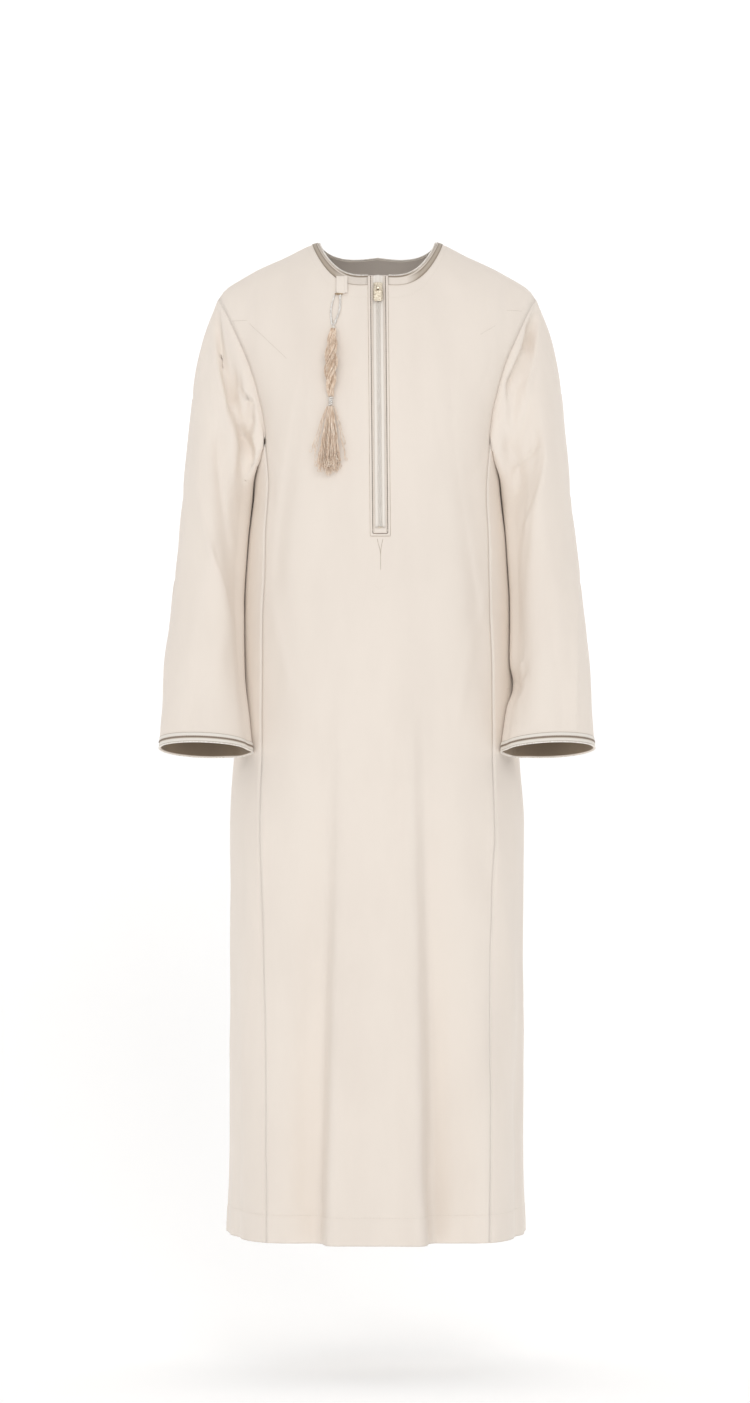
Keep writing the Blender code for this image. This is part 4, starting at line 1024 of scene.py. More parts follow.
FINE_SLEEVE_FOLDS = {
    Side.RIGHT: {
        "front": table(FOLD_COLUMNS, [
            (-0.220, -0.095, -0.196, -0.215, 0.003, 0.008, -0.0080, -0.0100, 0.004),
            (-0.196, -0.205, -0.172, -0.285, 0.003, 0.009, -0.0100, -0.0130, 0.003),
            (-0.226, -0.105, -0.206, -0.220, 0.004, 0.006, 0.0026, 0.0032, 0.003),
            (-0.236, -0.150, -0.226, -0.250, 0.005, 0.007, -0.0018, -0.0010, 0.004),
            (-0.243, -0.335, -0.224, -0.430, 0.003, 0.008, 0.0026, 0.0030, 0.002),
            (-0.224, -0.430, -0.195, -0.535, 0.003, 0.010, 0.0030, 0.0034, -0.003),
            (-0.174, -0.250, -0.182, -0.315, 0.006, 0.008, -0.0110, -0.0080, 0.003),
            (-0.186, -0.290, -0.196, -0.345, 0.004, 0.006, 0.0026, 0.0020, 0.004),
            (-0.189, -0.208, -0.171, -0.222, 0.003, 0.004, -0.0050, -0.0060, 0.002),
            (-0.204, -0.350, -0.196, -0.420, 0.004, 0.006, 0.0024, 0.0016, 0.003),
            (-0.252, -0.240, -0.262, -0.380, 0.006, 0.008, 0.0012, 0.0014, 0.003),
            (-0.240, -0.480, -0.262, -0.640, 0.010, 0.010, 0.0010, 0.0016, 0.004),
            (-0.228, -0.560, -0.252, -0.690, 0.008, 0.010, -0.0012, -0.0018, 0.003),
            (-0.200, -0.570, -0.196, -0.600, 0.004, 0.006, -0.0020, -0.0014, 0.002),
            (-0.193, -0.600, -0.190, -0.640, 0.004, 0.006, 0.0018, 0.0016, 0.002),
            (-0.282, -0.480, -0.272, -0.560, 0.005, 0.006, -0.0010, -0.0012, 0.002),
        ]),
        "back": table(FOLD_COLUMNS, [
            (-0.220, -0.100, -0.196, -0.230, 0.004, 0.007, -0.0026, -0.0026, 0.005),
            (-0.258, -0.250, -0.206, -0.330, 0.004, 0.007, -0.0030, -0.0034, 0.006),
            (-0.262, -0.320, -0.210, -0.370, 0.004, 0.007, 0.0026, 0.0026, 0.005),
            (-0.266, -0.360, -0.216, -0.420, 0.004, 0.007, -0.0030, -0.0030, 0.005),
            (-0.214, -0.450, -0.262, -0.520, 0.005, 0.008, -0.0026, -0.0020, 0.005),
            (-0.222, -0.560, -0.268, -0.640, 0.005, 0.008, -0.0016, -0.0014, 0.004),
        ]),
        "right": table(FOLD_COLUMNS, [
            (-0.030, -0.150, 0.020, -0.260, 0.006, 0.008, -0.0016, -0.0016, 0.004),
            (0.030, -0.280, -0.026, -0.350, 0.005, 0.008, -0.0024, -0.0022, 0.004),
            (0.020, -0.400, -0.050, -0.480, 0.005, 0.008, -0.0020, -0.0020, 0.004),
            (-0.020, -0.520, -0.080, -0.600, 0.006, 0.008, 0.0014, 0.0016, 0.004),
        ]),
    },
    Side.LEFT: {
        "front": table(FOLD_COLUMNS, [
            (0.215, -0.092, 0.207, -0.135, 0.003, 0.007, -0.0070, -0.0090, 0.002),
            (0.207, -0.130, 0.180, -0.195, 0.003, 0.008, -0.0090, -0.0100, 0.003),
            (0.222, -0.105, 0.206, -0.200, 0.004, 0.006, 0.0026, 0.0030, 0.003),
            (0.215, -0.150, 0.196, -0.260, 0.006, 0.008, -0.0020, -0.0024, 0.004),
            (0.232, -0.140, 0.238, -0.270, 0.006, 0.008, -0.0014, -0.0010, 0.004),
            (0.229, -0.300, 0.206, -0.390, 0.003, 0.009, 0.0030, 0.0034, 0.003),
            (0.206, -0.385, 0.197, -0.500, 0.003, 0.010, 0.0034, 0.0026, -0.003),
            (0.182, -0.290, 0.192, -0.350, 0.008, 0.012, -0.0100, -0.0080, 0.003),
            (0.216, -0.285, 0.188, -0.315, 0.004, 0.005, -0.0030, -0.0026, 0.003),
            (0.176, -0.250, 0.184, -0.300, 0.004, 0.006, 0.0024, 0.0020, 0.003),
            (0.200, -0.574, 0.186, -0.590, 0.003, 0.004, 0.0030, 0.0024, 0.002),
            (0.199, -0.592, 0.188, -0.606, 0.003, 0.004, -0.0034, -0.0030, 0.002),
            (0.199, -0.612, 0.190, -0.626, 0.003, 0.004, 0.0028, 0.0020, 0.002),
            (0.273, -0.440, 0.268, -0.660, 0.0025, 0.004, 0.0012, 0.0014, 0.002),
            (0.246, -0.220, 0.258, -0.360, 0.006, 0.008, 0.0012, 0.0014, 0.003),
            (0.228, -0.500, 0.250, -0.660, 0.008, 0.010, -0.0014, -0.0020, 0.004),
            (0.232, -0.420, 0.248, -0.560, 0.008, 0.010, 0.0010, 0.0014, 0.004),
        ]),
        "right": table(FOLD_COLUMNS, [
            (-0.068, -0.608, -0.070, -0.612, 0.030, 0.030, -0.0080, -0.0080, 0),
        ]),
        "back": table(FOLD_COLUMNS, [
            (0.218, -0.100, 0.194, -0.220, 0.004, 0.007, -0.0026, -0.0026, 0.005),
            (0.258, -0.260, 0.204, -0.335, 0.004, 0.007, -0.0030, -0.0034, 0.006),
            (0.262, -0.325, 0.208, -0.378, 0.004, 0.007, 0.0026, 0.0026, 0.005),
            (0.266, -0.368, 0.214, -0.425, 0.004, 0.007, -0.0030, -0.0030, 0.005),
            (0.214, -0.460, 0.262, -0.530, 0.005, 0.008, -0.0026, -0.0020, 0.005),
            (0.222, -0.566, 0.268, -0.648, 0.005, 0.008, -0.0016, -0.0014, 0.004),
        ]),
        "left": table(FOLD_COLUMNS, [
            (-0.028, -0.150, 0.022, -0.255, 0.006, 0.008, -0.0016, -0.0016, 0.004),
            (0.028, -0.290, -0.028, -0.356, 0.005, 0.008, -0.0024, -0.0022, 0.004),
            (0.018, -0.410, -0.052, -0.488, 0.005, 0.008, -0.0020, -0.0020, 0.004),
            (-0.022, -0.530, -0.082, -0.610, 0.006, 0.008, 0.0014, 0.0016, 0.004),
        ]),
    },
}


def fold_rise(sheet: Sheet, folds: dict[str, dict[str, Array]], end: float) -> Array:
    """How far a set of folds moves each point out along its normal: for each fold, its rise times
    a bell curve across it and another past its ends, on points that face its way.

    Args:
        sheet: the cloth.
        folds: a table of folds for each face.
        end: how far a fold runs out past its ends.

    Returns:
        The rise at each point.
    """
    total = np.zeros(sheet.points.shape[:-1])
    for face, rows in folds.items():
        axis, outward = FOLD_AXES[face]
        weight = np.clip(sheet.normals @ np.array(outward), 0, 1)
        across, height = sheet.points[..., axis], sheet.points[..., 2]
        for values in zip(*rows.values()):
            fold = dict(zip(rows, values))
            part = np.clip((fold["top_z"] - height) / (fold["top_z"] - fold["low_z"]), 0, 1)
            path = fold["top_across"] + (fold["low_across"] - fold["top_across"]) * part
            path = path + fold["bow"] * 4 * part * (1 - part) * np.sign(path)
            off = (across - path) * np.sign(path)
            width = np.where(off < 0, fold["inner_width"], fold["outer_width"])
            past = np.maximum(np.maximum(height - fold["top_z"], fold["low_z"] - height), 0)
            rise = fold["top_rise"] + (fold["low_rise"] - fold["top_rise"]) * part
            total += weight * rise * bump(off, width) * bump(past, end)
    return total


@dataclass(frozen=True)
class Form:
    """The robe's shape and its cloth as sheets, sewn where their points meet.

    Attributes:
        length: from the shoulders' high points to the hem.
        hem: depth of the hem.
        underarm: height of the side seams' tops, and their dip under the arm with its run.
        neck_half: half width of the neck opening, with its runs to the front and the back.
        shoulder_half: half width across the shoulder tips.
        armhole_curve: how fast the armhole widens from underarm to tip.
        girth_round: roundness of the sections, 2 being an ellipse and more squarer.
        placket_half: half width of the placket.
        placket_top: height of its top, with its shifts to the wearer's left at top and foot.
        slit_share: the zip slit's share of the placket's width.
        slit_foot: height of the slit's foot, with the placket's foot below it.
        band: width of the neck band at the sides, with its run at the front and the back.
        cuff: width of the cuff bands, on a sleeve of the given length.
        blend: the share of a sleeve along which the armhole's shape passes into its own.
        cell: the length of a cell down the body.
        seam_dip: depth of the seams' dip, with its width.
    """

    length: float = 1.365
    hem: float = 0.037
    underarm: float = -0.280
    underarm_dip: float = 0.018
    dip_run: float = 0.18
    neck_half: float = 0.0815
    neck_front: float = 0.089
    neck_back: float = 0.062
    shoulder_half: float = 0.2195
    armhole_curve: float = 1.4
    girth_round: float = 2.3
    arc_round: float = 2.4
    neck_round: float = 3.0
    placket_half: float = 0.014
    placket_top: float = -0.060
    placket_shifts: tuple[float, float] = (0.0012, 0.0044)
    slit_share: float = 0.5
    slit_foot: float = -0.398
    placket_foot: float = -0.410
    band: float = 0.0080
    band_run: float = 0.0056
    cuff: float = 0.0105
    sleeve_length: float = 0.640
    blend: float = 0.35
    neck_reach: float = 9 / 14
    cell: float = 0.005
    arc_cells: int = 56
    band_cells: int = 8
    placket_cells: int = 14
    panel_cells: int = 47
    side_cells: int = 30
    sleeve_cells: int = 200
    cuff_cells: int = 12
    seam_dip: float = 0.0007
    seam_width: float = 0.0022

    def placket_shift(self, height: Array) -> Array:
        """How far to the wearer's left the placket's middle is at the given heights.

        Args:
            height: heights in metres.

        Returns:
            The shift at each height.
        """
        top, foot = self.placket_shifts
        part = (self.placket_top - height) / (self.placket_top - self.placket_foot)
        return top + (foot - top) * np.clip(part, 0, 1)

    def columns(self) -> Array:
        """The panels' columns: up to 1 on the placket, 2 at the side seam.

        Returns:
            The columns.
        """
        slit = spaced([0.0, self.slit_share, 1.0], 1 / self.placket_cells)
        outer = spaced([1.0, 1.0 + self.neck_reach, 2.0], 1 / self.panel_cells)
        half = np.concatenate([slit[1:], outer[1:]])
        return np.concatenate([-half[::-1], [0.0], half])

    def low_rows(self) -> Array:
        """The rows below the underarm, as heights from it.

        Returns:
            The rows.
        """
        edge = -self.length
        hem = edge + self.hem
        marks = [edge, edge + 0.003, hem - 0.003, hem - 0.001, hem + 0.001, hem + 0.003,
                 self.placket_foot, self.slit_foot, self.underarm]
        return spaced(marks, self.cell) - self.underarm

    def rows(self) -> Array:
        """All the panels' rows: heights, then shares of the arc, then 1 to 2 across the band.

        Returns:
            The rows.
        """
        arc = np.arange(1, self.arc_cells + 1) / self.arc_cells
        return np.concatenate([self.low_rows(), arc,
                               1 + np.arange(1, self.band_cells + 1) / self.band_cells])

    @staticmethod
    def girth(name: str, height: Array) -> Array:
        """A named value of the body's sections at the given heights."""
        return curve(height, TORSO["height"], TORSO[name])

    def neck_line(self, columns: Array, half: float, run: float) -> tuple[Array, Array]:
        """Plan of a curve round the neck, a superellipse.

        Args:
            columns: the panel's columns.
            half: its half width.
            run: its depth.

        Returns:
            How far across and how deep it is at each column.
        """
        reach = np.clip((np.abs(columns) - 1) / self.neck_reach, 0, 1)
        even = self.neck_round / 2
        start = math.asin((self.placket_half / half) ** even) / (math.pi / 2)
        first = (start / (1 - start)) ** (1 / even)
        first = first / (1 + first)
        part = first + (1 - first) * reach
        turn = math.pi / 2 * part ** even / (part ** even + (1 - part) ** even)
        across = half * np.sin(turn) ** (1 / even)
        across = np.where(np.abs(columns) < 1, np.abs(columns) * self.placket_half, across)
        deep = np.clip(1 - (across / half) ** self.neck_round, 0, 1) ** (1 / self.neck_round)
        return across, run * deep

    def cap_half(self, turn: Array) -> Array:
        """Half width at the armhole, which widens by a power of the turn's sine.

        Args:
            turn: angles on the arc over the shoulder.

        Returns:
            The half width at each angle.
        """
        share = float(self.girth("seam_share", np.array(self.underarm)))
        seam = share * float(self.girth("half_width", np.array(self.underarm)))
        return seam + (self.shoulder_half - seam) * np.sin(turn) ** self.armhole_curve

    def cap_depth(self, face: Face, share: Array) -> Array:
        """Depth at underarm level, at a share of the half width.

        Args:
            face: the front or the back.
            share: shares of the half width.

        Returns:
            The depth at each share.
        """
        seam_share = float(self.girth("seam_share", np.array(self.underarm)))
        depth = float(self.girth(face.name.lower(), np.array(self.underarm)))
        return depth * (1 - (share * seam_share) ** self.girth_round) ** (1 / self.girth_round)

    def cap_place(self, face: Face, share: Array, turn: Array) -> Array:
        """Points of the arc over the shoulder: a superellipse from underarm level to the ridge.

        Args:
            face: front or back.
            share: from 0 in the middle to 1 at the armhole.
            turn: from 0, upright, to a quarter turn at the shoulder line.

        Returns:
            The points, on the wearer's left.
        """
        ridge = curve(share * self.shoulder_half, SHOULDER["across"], SHOULDER["height"])
        y = face.value * self.cap_depth(face, share) * np.cos(turn) ** (2 / self.arc_round)
        z = self.underarm + (ridge - self.underarm) * np.sin(turn) ** (2 / self.arc_round)
        return np.stack(np.broadcast_arrays(share * self.cap_half(turn), y, z), axis=-1)

    def cap_find(self, face: Face, across: Array, deep: Array) -> tuple[Array, Array]:
        """The share and the turn of places given in plan, by repeated correction.

        Args:
            face: the front or the back.
            across: places across.
            deep: places from front to back.

        Returns:
            The shares and the angles.
        """
        share = across / self.shoulder_half
        for _ in range(12):
            part = np.clip(deep / self.cap_depth(face, share), 0, 1)
            turn = np.arccos(part ** (self.arc_round / 2))
            share = across / self.cap_half(turn)
        return share, turn

    def ring(self, face: Face, columns: Array, off: float, run_off: float) -> Array:
        """Points of a curve round the neck, off its edge by a width at the sides and a run in the
        middle.

        Args:
            face: the front or the back.
            columns: places across the panel, as its columns count them.
            off: how far off the edge at the sides.
            run_off: how far off it in the middle.

        Returns:
            The points.
        """
        run = self.neck_front if face is Face.FRONT else self.neck_back
        line = self.neck_line(columns, self.neck_half + off, run + run_off)
        return self.cap_place(face, *self.cap_find(face, *line))

    def panel(self, face: Face, columns: Array, rows: Array) -> Array:
        """Points of the front or back: superelliptic sections below the underarm, then arcs over
        the shoulder line, which end at the neck band's outer line, then the band up to the edge.

        Args:
            face: front or back.
            columns: the panel's columns.
            rows: the panel's rows.

        Returns:
            The points.
        """
        reach = np.clip(np.abs(columns) - 1, 0, 1)
        level = self.underarm + np.minimum(rows, 0)[:, None]
        half, depth = self.girth("half_width", level), self.girth(face.name.lower(), level)
        seam = half * self.girth("seam_share", level)
        across = (self.placket_half * np.minimum(np.abs(columns), 1)
                  + (seam - self.placket_half) * reach)
        deep = depth * (1 - (across / half) ** self.girth_round) ** (1 / self.girth_round)
        low = np.stack(np.broadcast_arrays(across, face.value * deep, level), axis=-1)

        on_neck = reach <= self.neck_reach + 1e-9
        run = self.neck_front if face is Face.FRONT else self.neck_back
        line = self.neck_line(columns, self.neck_half + self.band, run + self.band_run)
        share, turn = self.cap_find(face, *line)
        edge = (self.neck_half + self.band) / self.shoulder_half
        past = np.clip((reach - self.neck_reach) / (1 - self.neck_reach), 0, 1)
        share = np.where(on_neck, share, edge + (1 - edge) * past)
        turn = np.where(on_neck, turn, math.pi / 2)
        rise = np.clip(rows, 0, 1)[:, None]
        corner = np.where(on_neck, reach / self.neck_reach, (1 - reach) / (1 - self.neck_reach)) / 2
        turns = turn * (rise + corner * (np.sin(rise * math.pi / 2) - rise))
        low_share = across[-1] / self.cap_half(np.array(0.0))
        shares = low_share + (share - low_share) * rise ** (1 + 2 * corner)
        straight = self.placket_half * np.abs(columns) / self.cap_half(turns)
        shares = np.where(np.abs(columns) <= 1, straight, shares)
        points = np.where(rows[:, None, None] > 0, self.cap_place(face, shares, turns), low)
        for row in np.flatnonzero(rows > 1):
            left = 2 - rows[row]
            band = self.ring(face, columns, self.band * left, self.band_run * left)
            points[row] = np.where(on_neck[:, None], band, points[row - 1] + (0, 0, 0.001))
        shift = self.placket_shift(points[..., 2]) * (1 - reach)
        points[..., 0] = points[..., 0] * np.sign(columns) + shift
        return points

    def side_panel(self, side: Side, columns: Array, rows: Array) -> Array:
        """Points of a side panel: the sections' ends between its two seams, dipping under the
        arm, turned to face outwards.

        Args:
            side: the wearer's right or left.
            columns: places from one seam to the other, 0 to 1.
            rows: heights from the underarm.

        Returns:
            The panel's points.
        """
        level = self.underarm + rows[:, None]
        half = self.girth("half_width", level)
        start = np.arccos(self.girth("seam_share", level) ** (self.girth_round / 2))
        turn = (2 * columns - 1) * start
        depth = np.where(turn < 0, self.girth("front", level), self.girth("back", level))
        x = side.value * half * np.cos(turn) ** (2 / self.girth_round)
        y = np.sign(turn) * depth * np.abs(np.sin(turn)) ** (2 / self.girth_round)
        dip = self.underarm_dip * ease(1 + rows[:, None] / self.dip_run)
        z = level - dip * (1 - (turn / start) ** 2)
        points = np.stack([x, y, z], axis=-1)
        return points if side is Side.LEFT else points[:, ::-1]

    @staticmethod
    def sleeve_ring(along: Array, around: Array) -> Array:
        """Points of the left sleeve's sections, slanting ellipses; a quarter turn is outwards and
        0 is the front.

        Args:
            along: shares of the sleeve's length.
            around: angles round the sleeve.

        Returns:
            The points.
        """
        value = {name: curve(along, SLEEVE["along"], SLEEVE[name]) for name in SLEEVE}
        sine, cosine = np.sin(around), np.cos(around)
        x = (value["out_x"] + value["in_x"]) / 2 + (value["out_x"] - value["in_x"]) / 2 * sine
        y = value["mid_y"] - value["half_depth"] * cosine
        z = (value["out_z"] + value["in_z"]) / 2 + (value["out_z"] - value["in_z"]) / 2 * sine
        return np.stack([x, y, z + value["lift"] * cosine], axis=-1)

    def sleeve(self, side: Side, loop: Array, steps: Array) -> Array:
        """Points of a sleeve: its sections, plus the armhole's difference from the first one,
        which fades along it.

        Args:
            side: the wearer's side.
            loop: the armhole's points, from the shoulder tip down the front, under and up.
            steps: shares of the sleeve's length.

        Returns:
            The points, turned to face outwards.
        """
        gone = travelled(np.concatenate([loop, loop[:1]]))
        corners = [0, gone[np.argmin(loop[:, 2])], gone[-1]]
        around = np.interp(gone[:-1], corners, np.radians([90, -90, -270]))
        rings = self.sleeve_ring(steps[:, None], around[None, :]) * np.array([side.value, 1, 1])
        start = (loop - rings[0]) * (1 - ease(steps / self.blend))[:, None, None]
        points = rings + start
        return points if side is Side.LEFT else points[:, ::-1]


UNEVEN = table("turns_x turns_y turns_z phase depth", [
    (5.1, 2.0, 1.9, 0.4, 0.00045),
    (2.7, 4.1, 3.3, 1.9, 0.00050),
    (9.3, 3.7, 4.6, 3.1, 0.00028),
    (4.4, 8.6, 7.9, 4.4, 0.00022),
    (13.7, 9.1, 5.2, 5.0, 0.00014),
    (6.8, 12.9, 11.6, 0.9, 0.00012),
])


class Robe:
    """The robe's cloth: its sheets with their folds, and the walls made from them."""

    fold_end = 0.060
    fine_end = 0.020
    fold_share = 0.10
    fine_share = 0.03
    pucker = 0.35
    rest_gap, rest_reach = 0.0007, 0.0220
    calm_half, calm_run = 0.014, 0.040
    hem_groove, hem_line, hem_rise = 0.0005, 0.0012, 0.0003

    def __init__(self, form: Form) -> None:
        """Lay out the six sheets, fold them and sink their seams.

        Args:
            form: the robe's form.
        """
        self.form = form
        columns, low, rows = form.columns(), form.low_rows(), form.rows()
        self.columns_at, self.rows_at = columns, rows
        self.level, self.top = len(low) - 1, len(low) - 1 + form.arc_cells
        self.slit_row = int(np.argmin(np.abs(rows - (form.slit_foot - form.underarm))))
        self.foot_row = int(np.argmin(np.abs(rows - (form.placket_foot - form.underarm))))
        middle = np.abs(columns[:-1] + columns[1:]) / 2
        self.whole = np.ones((len(rows) - 1, len(columns) - 1), bool)
        self.whole[self.top:, middle > 1 + form.neck_reach] = False
        self.slit = self.whole.copy()
        self.slit[self.slit_row:, middle < form.slit_share] = False
        side_columns = np.linspace(0, 1, form.side_cells + 1)
        plain = [Sheet(form.panel(Face.FRONT, columns, rows), self.whole),
                 Sheet(form.panel(Face.BACK, columns, rows)[:, ::-1], self.whole),
                 Sheet(form.side_panel(Side.RIGHT, side_columns, low)),
                 Sheet(form.side_panel(Side.LEFT, side_columns, low))]
        panels = self.folded(plain, MAIN_BODY_FOLDS, self.fold_end)
        panels = self.folded(panels, FINE_BODY_FOLDS, self.fine_end)
        cuff = 1 - form.cuff / form.sleeve_length
        self.steps = np.concatenate([spaced([0.0, 0.01, cuff], 1 / form.sleeve_cells),
                                     np.linspace(cuff, 1, form.cuff_cells + 1)[1:]])
        sleeves = [self.sleeve(side, panels) for side in Side]
        sheets = panels + sleeves
        under = np.arange(form.arc_cells, form.arc_cells + form.side_cells + 1)
        under_right = sleeves[0].points.shape[1] - 1 - under
        apart = [(4, under_right), (5, under)]
        normals = shared_normals(sheets, apart)
        sheets = [Sheet(sheet.points + normal * self.sunk(number, sheet)[..., None], sheet.keep,
                        sheet.closed)
                  for number, (sheet, normal) in enumerate(zip(sheets, normals))]
        body = self.tree_of(sheets[:4])
        sheets[4:] = [self.rested(sheet, body) for sheet in sheets[4:]]
        for sheet, normal in zip(sheets, shared_normals(sheets, apart)):
            sheet.normals = normal
        self.front, self.back, side_right, side_left, sleeve_right, sleeve_left = sheets
        sleeve_right.points[0, under_right] += side_right.normals[-1, ::-1] * SEAM_GAP
        sleeve_left.points[0, under] += side_left.normals[-1] * SEAM_GAP
        self.sides = {Side.RIGHT: side_right, Side.LEFT: side_left}
        self.sleeves = {Side.RIGHT: sleeve_right, Side.LEFT: sleeve_left}
        self.tree = self.tree_of([self.front, side_right, side_left])

    @staticmethod
    def folded(sheets: Sequence[Sheet], folds: dict[str, dict[str, Array]], end: float) -> list[Sheet]:
        """Sheets with a set of folds laid on them along the normals that they share.

        Args:
            sheets: the sheets.
            folds: the folds to lay.
            end: the length over which a fold fades at its ends.

        Returns:
            The folded sheets.
        """
        for sheet, normal in zip(sheets, shared_normals(sheets)):
            sheet.normals = normal
        return [Sheet(sheet.moved(fold_rise(sheet, folds, end)).points, sheet.keep, sheet.closed)
                for sheet in sheets]

    def sleeve(self, side: Side, panels: Sequence[Sheet]) -> Sheet:
        """A sleeve grown from the armhole, with its folds, which fade at both its ends.

        Args:
            side: the wearer's right or left.
            panels: the front, the back, and the right and left side panels.

        Returns:
            The sleeve's sheet.
        """
        front, back, right, left = (panel.points for panel in panels)
        edge = slice(self.level, self.top + 1)
        on_left = side is Side.LEFT
        down = front[edge, -1 if on_left else 0][::-1]
        up = back[edge, 0 if on_left else -1]
        under = left[-1] if on_left else right[-1, ::-1]
        loop = np.concatenate([down[:-1], under[:-1], up[:-1]])
        sheet = Sheet(self.form.sleeve(side, loop, self.steps), closed=True)
        for folds, end, share in ((MAIN_SLEEVE_FOLDS, self.fold_end, self.fold_share),
                                  (FINE_SLEEVE_FOLDS, self.fine_end, self.fine_share)):
            fade = ease(self.steps / share) * ease((1 - self.steps) / share)
            rise = fold_rise(sheet, folds[side], end) * fade[:, None]
            sheet = Sheet(sheet.moved(rise).points, closed=True)
        return sheet

    def sunk(self, number: int, sheet: Sheet) -> Array:
        """How far each point moves out: a bell curve sinks the cloth along its seams, where it
        puckers by a sine, and long summed sines make it uneven.

        Args:
            number: the sheet's number among the six.
            sheet: the sheet.

        Returns:
            The rise at each point.
        """
        points = sheet.points
        if number < 4:
            above = np.where(points[..., 2] > self.form.underarm, 0.0, 1.0)
            reach = np.minimum(span_from(points, 1, False), span_from(points, 1, True)) + above
            if number < 2:
                top = span_from(points[:self.top + 1], 0, True)
                off_neck = np.abs(self.columns_at) >= 1 + self.form.neck_reach - 1e-9
                off_neck = off_neck if number == 0 else off_neck[::-1]
                near = np.minimum(reach[:self.top + 1], np.where(off_neck, top, 1.0))
                reach = np.concatenate([near, np.where(off_neck, 0.0, 1.0) + 0 * reach[self.top + 1:]])
            else:
                reach = np.minimum(reach, span_from(points, 0, True))
        else:
            reach = span_from(points, 0, False)
        x, y, z = points[..., 0], points[..., 1], points[..., 2]
        pull = 1 + self.pucker * np.sin(2 * math.pi * (z / 0.019 + y / 0.027 + x / 0.023))
        rise = -self.form.seam_dip * bump(reach, self.form.seam_width) * pull
        off_placket = np.abs(x - self.form.placket_shift(z)) - self.calm_half
        calm = 1.0 if number else ease(off_placket / self.calm_run)
        for turns_x, turns_y, turns_z, phase, depth in zip(*UNEVEN.values()):
            angle = 2 * math.pi * (turns_x * x + turns_y * y + turns_z * z) + phase
            rise = rise + depth * calm * np.sin(angle)
        if number < 4:
            line = z + self.form.length - self.form.hem
            rise = rise - self.hem_groove * bump(line, self.hem_line) + self.hem_rise * (line < 0)
        return rise

    def rested(self, sheet: Sheet, body: BVHTree) -> Sheet:
        """A sleeve that rests on the body: where it comes near, its distance past a small gap is
        multiplied by the square of a smooth step of itself.

        Args:
            sheet: the sleeve.
            body: the faces of the panels.

        Returns:
            The sleeve, moved.
        """
        points = sheet.points.copy()
        fade = ease(self.steps / self.fine_share)
        for row, column in np.ndindex(points.shape[:2]):
            place = Vector(points[row, column])
            near, normal = body.find_nearest(place, 2 * self.rest_reach)[:2]
            if near is None or normal.dot(Vector(sheet.normals[row, column])) > -0.2:
                continue
            space = (place - near).dot(normal) - self.rest_gap
            left = max(space, 0.0) * float(ease(np.array(space / self.rest_reach))) ** 2
            points[row, column] += np.array(normal) * (left - space) * fade[row]
        return Sheet(points, closed=True)

    @staticmethod
    def tree_of(sheets: Sequence[Sheet]) -> BVHTree:
        """A tree of the faces of several sheets.

        Args:
            sheets: the sheets.

        Returns:
            The tree.
        """
        places, faces = [], []
        for sheet in sheets:
            faces += (sheet.cells(sheet.index) + sum(len(part) for part in places)).tolist()
            places.append(sheet.points.reshape(-1, 3))
        return BVHTree.FromPolygons(np.concatenate(places).tolist(), faces)

    def on_front(self, places: Array, lift: float = 0.0) -> tuple[Array, Array]:
        """Points of the front at places across and up, moved out, with its normals there. Places
        that miss the cloth are left out.

        Args:
            places: places across and up.
            lift: how far out the points are moved.

        Returns:
            The points and the normals.
        """
        hits = [self.tree.ray_cast(Vector((x, -1.0, z)), Vector((0, 1, 0)))[:2] for x, z in places]
        hits = np.array([(*point, *normal) for point, normal in hits if point is not None])
        return hits[:, :3] + hits[:, 3:] * lift, hits[:, 3:]

    def spot(self, columns: Array, rows: Array) -> tuple[Array, Array]:
        """Points and normals of the front at columns and rows, read between its grid's own.

        Args:
            columns: places across the panel, as its columns count them.
            rows: places up the panel, as its rows count them.

        Returns:
            The points and the normals.
        """
        across = np.interp(columns, self.columns_at, np.arange(len(self.columns_at)))
        up = np.interp(rows, self.rows_at, np.arange(len(self.rows_at)))
        column = np.minimum(across.astype(int), len(self.columns_at) - 2)
        row = np.minimum(up.astype(int), len(self.rows_at) - 2)
        right, top = (across - column)[:, None], (up - row)[:, None]
        found = []
        for grid in (self.front.points, self.front.normals):
            low = grid[row, column] * (1 - right) + grid[row, column + 1] * right
            high = grid[row + 1, column] * (1 - right) + grid[row + 1, column + 1] * right
            found.append(low * (1 - top) + high * top)
        return found[0], unit(found[1])

    def declare(self, made: bpy.types.Object, sheet: Sheet, *pieces: bpy.types.Object) -> None:
        """Work out a sheet's flat cut, from the lengths along it; the sizes are not kept.

        Args:
            made: the piece; not used.
            sheet: the sheet that it was sewn from.
            pieces: other pieces of the same sheet; not used.
        """
        width, length, area = sheet.cut()
        width, length = max(width, 0.010), max(length, 0.010)

    def build(self, shop: Workshop) -> None:
        """Sew the six walls.

        Args:
            shop: what makes the pieces.
        """
        thick = np.where(self.rows_at < self.form.hem - self.form.length - self.form.underarm,
                         HEM_CLOTH, CLOTH)
        front = Sheet(self.front.points, self.slit, False, self.front.normals)
        low = thick[:self.level + 1]
        walls = [("front_cloth", "front_panel", front, thick),
                 ("back_cloth", "back_panel", self.back, thick)]
        for side in Side:
            walls += [(f"side_cloth_{side.word}", f"side_panel_{side.word}", self.sides[side], low),
                      (f"sleeve_cloth_{side.word}", f"sleeve_{side.word}", self.sleeves[side], CLOTH)]
        for name, node, sheet, depth in walls:
            made = sheet.sewn(shop, name, ROBE_CLOTH, 0.0, depth, pull=0.0)
            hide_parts(node)
            self.declare(made, sheet)


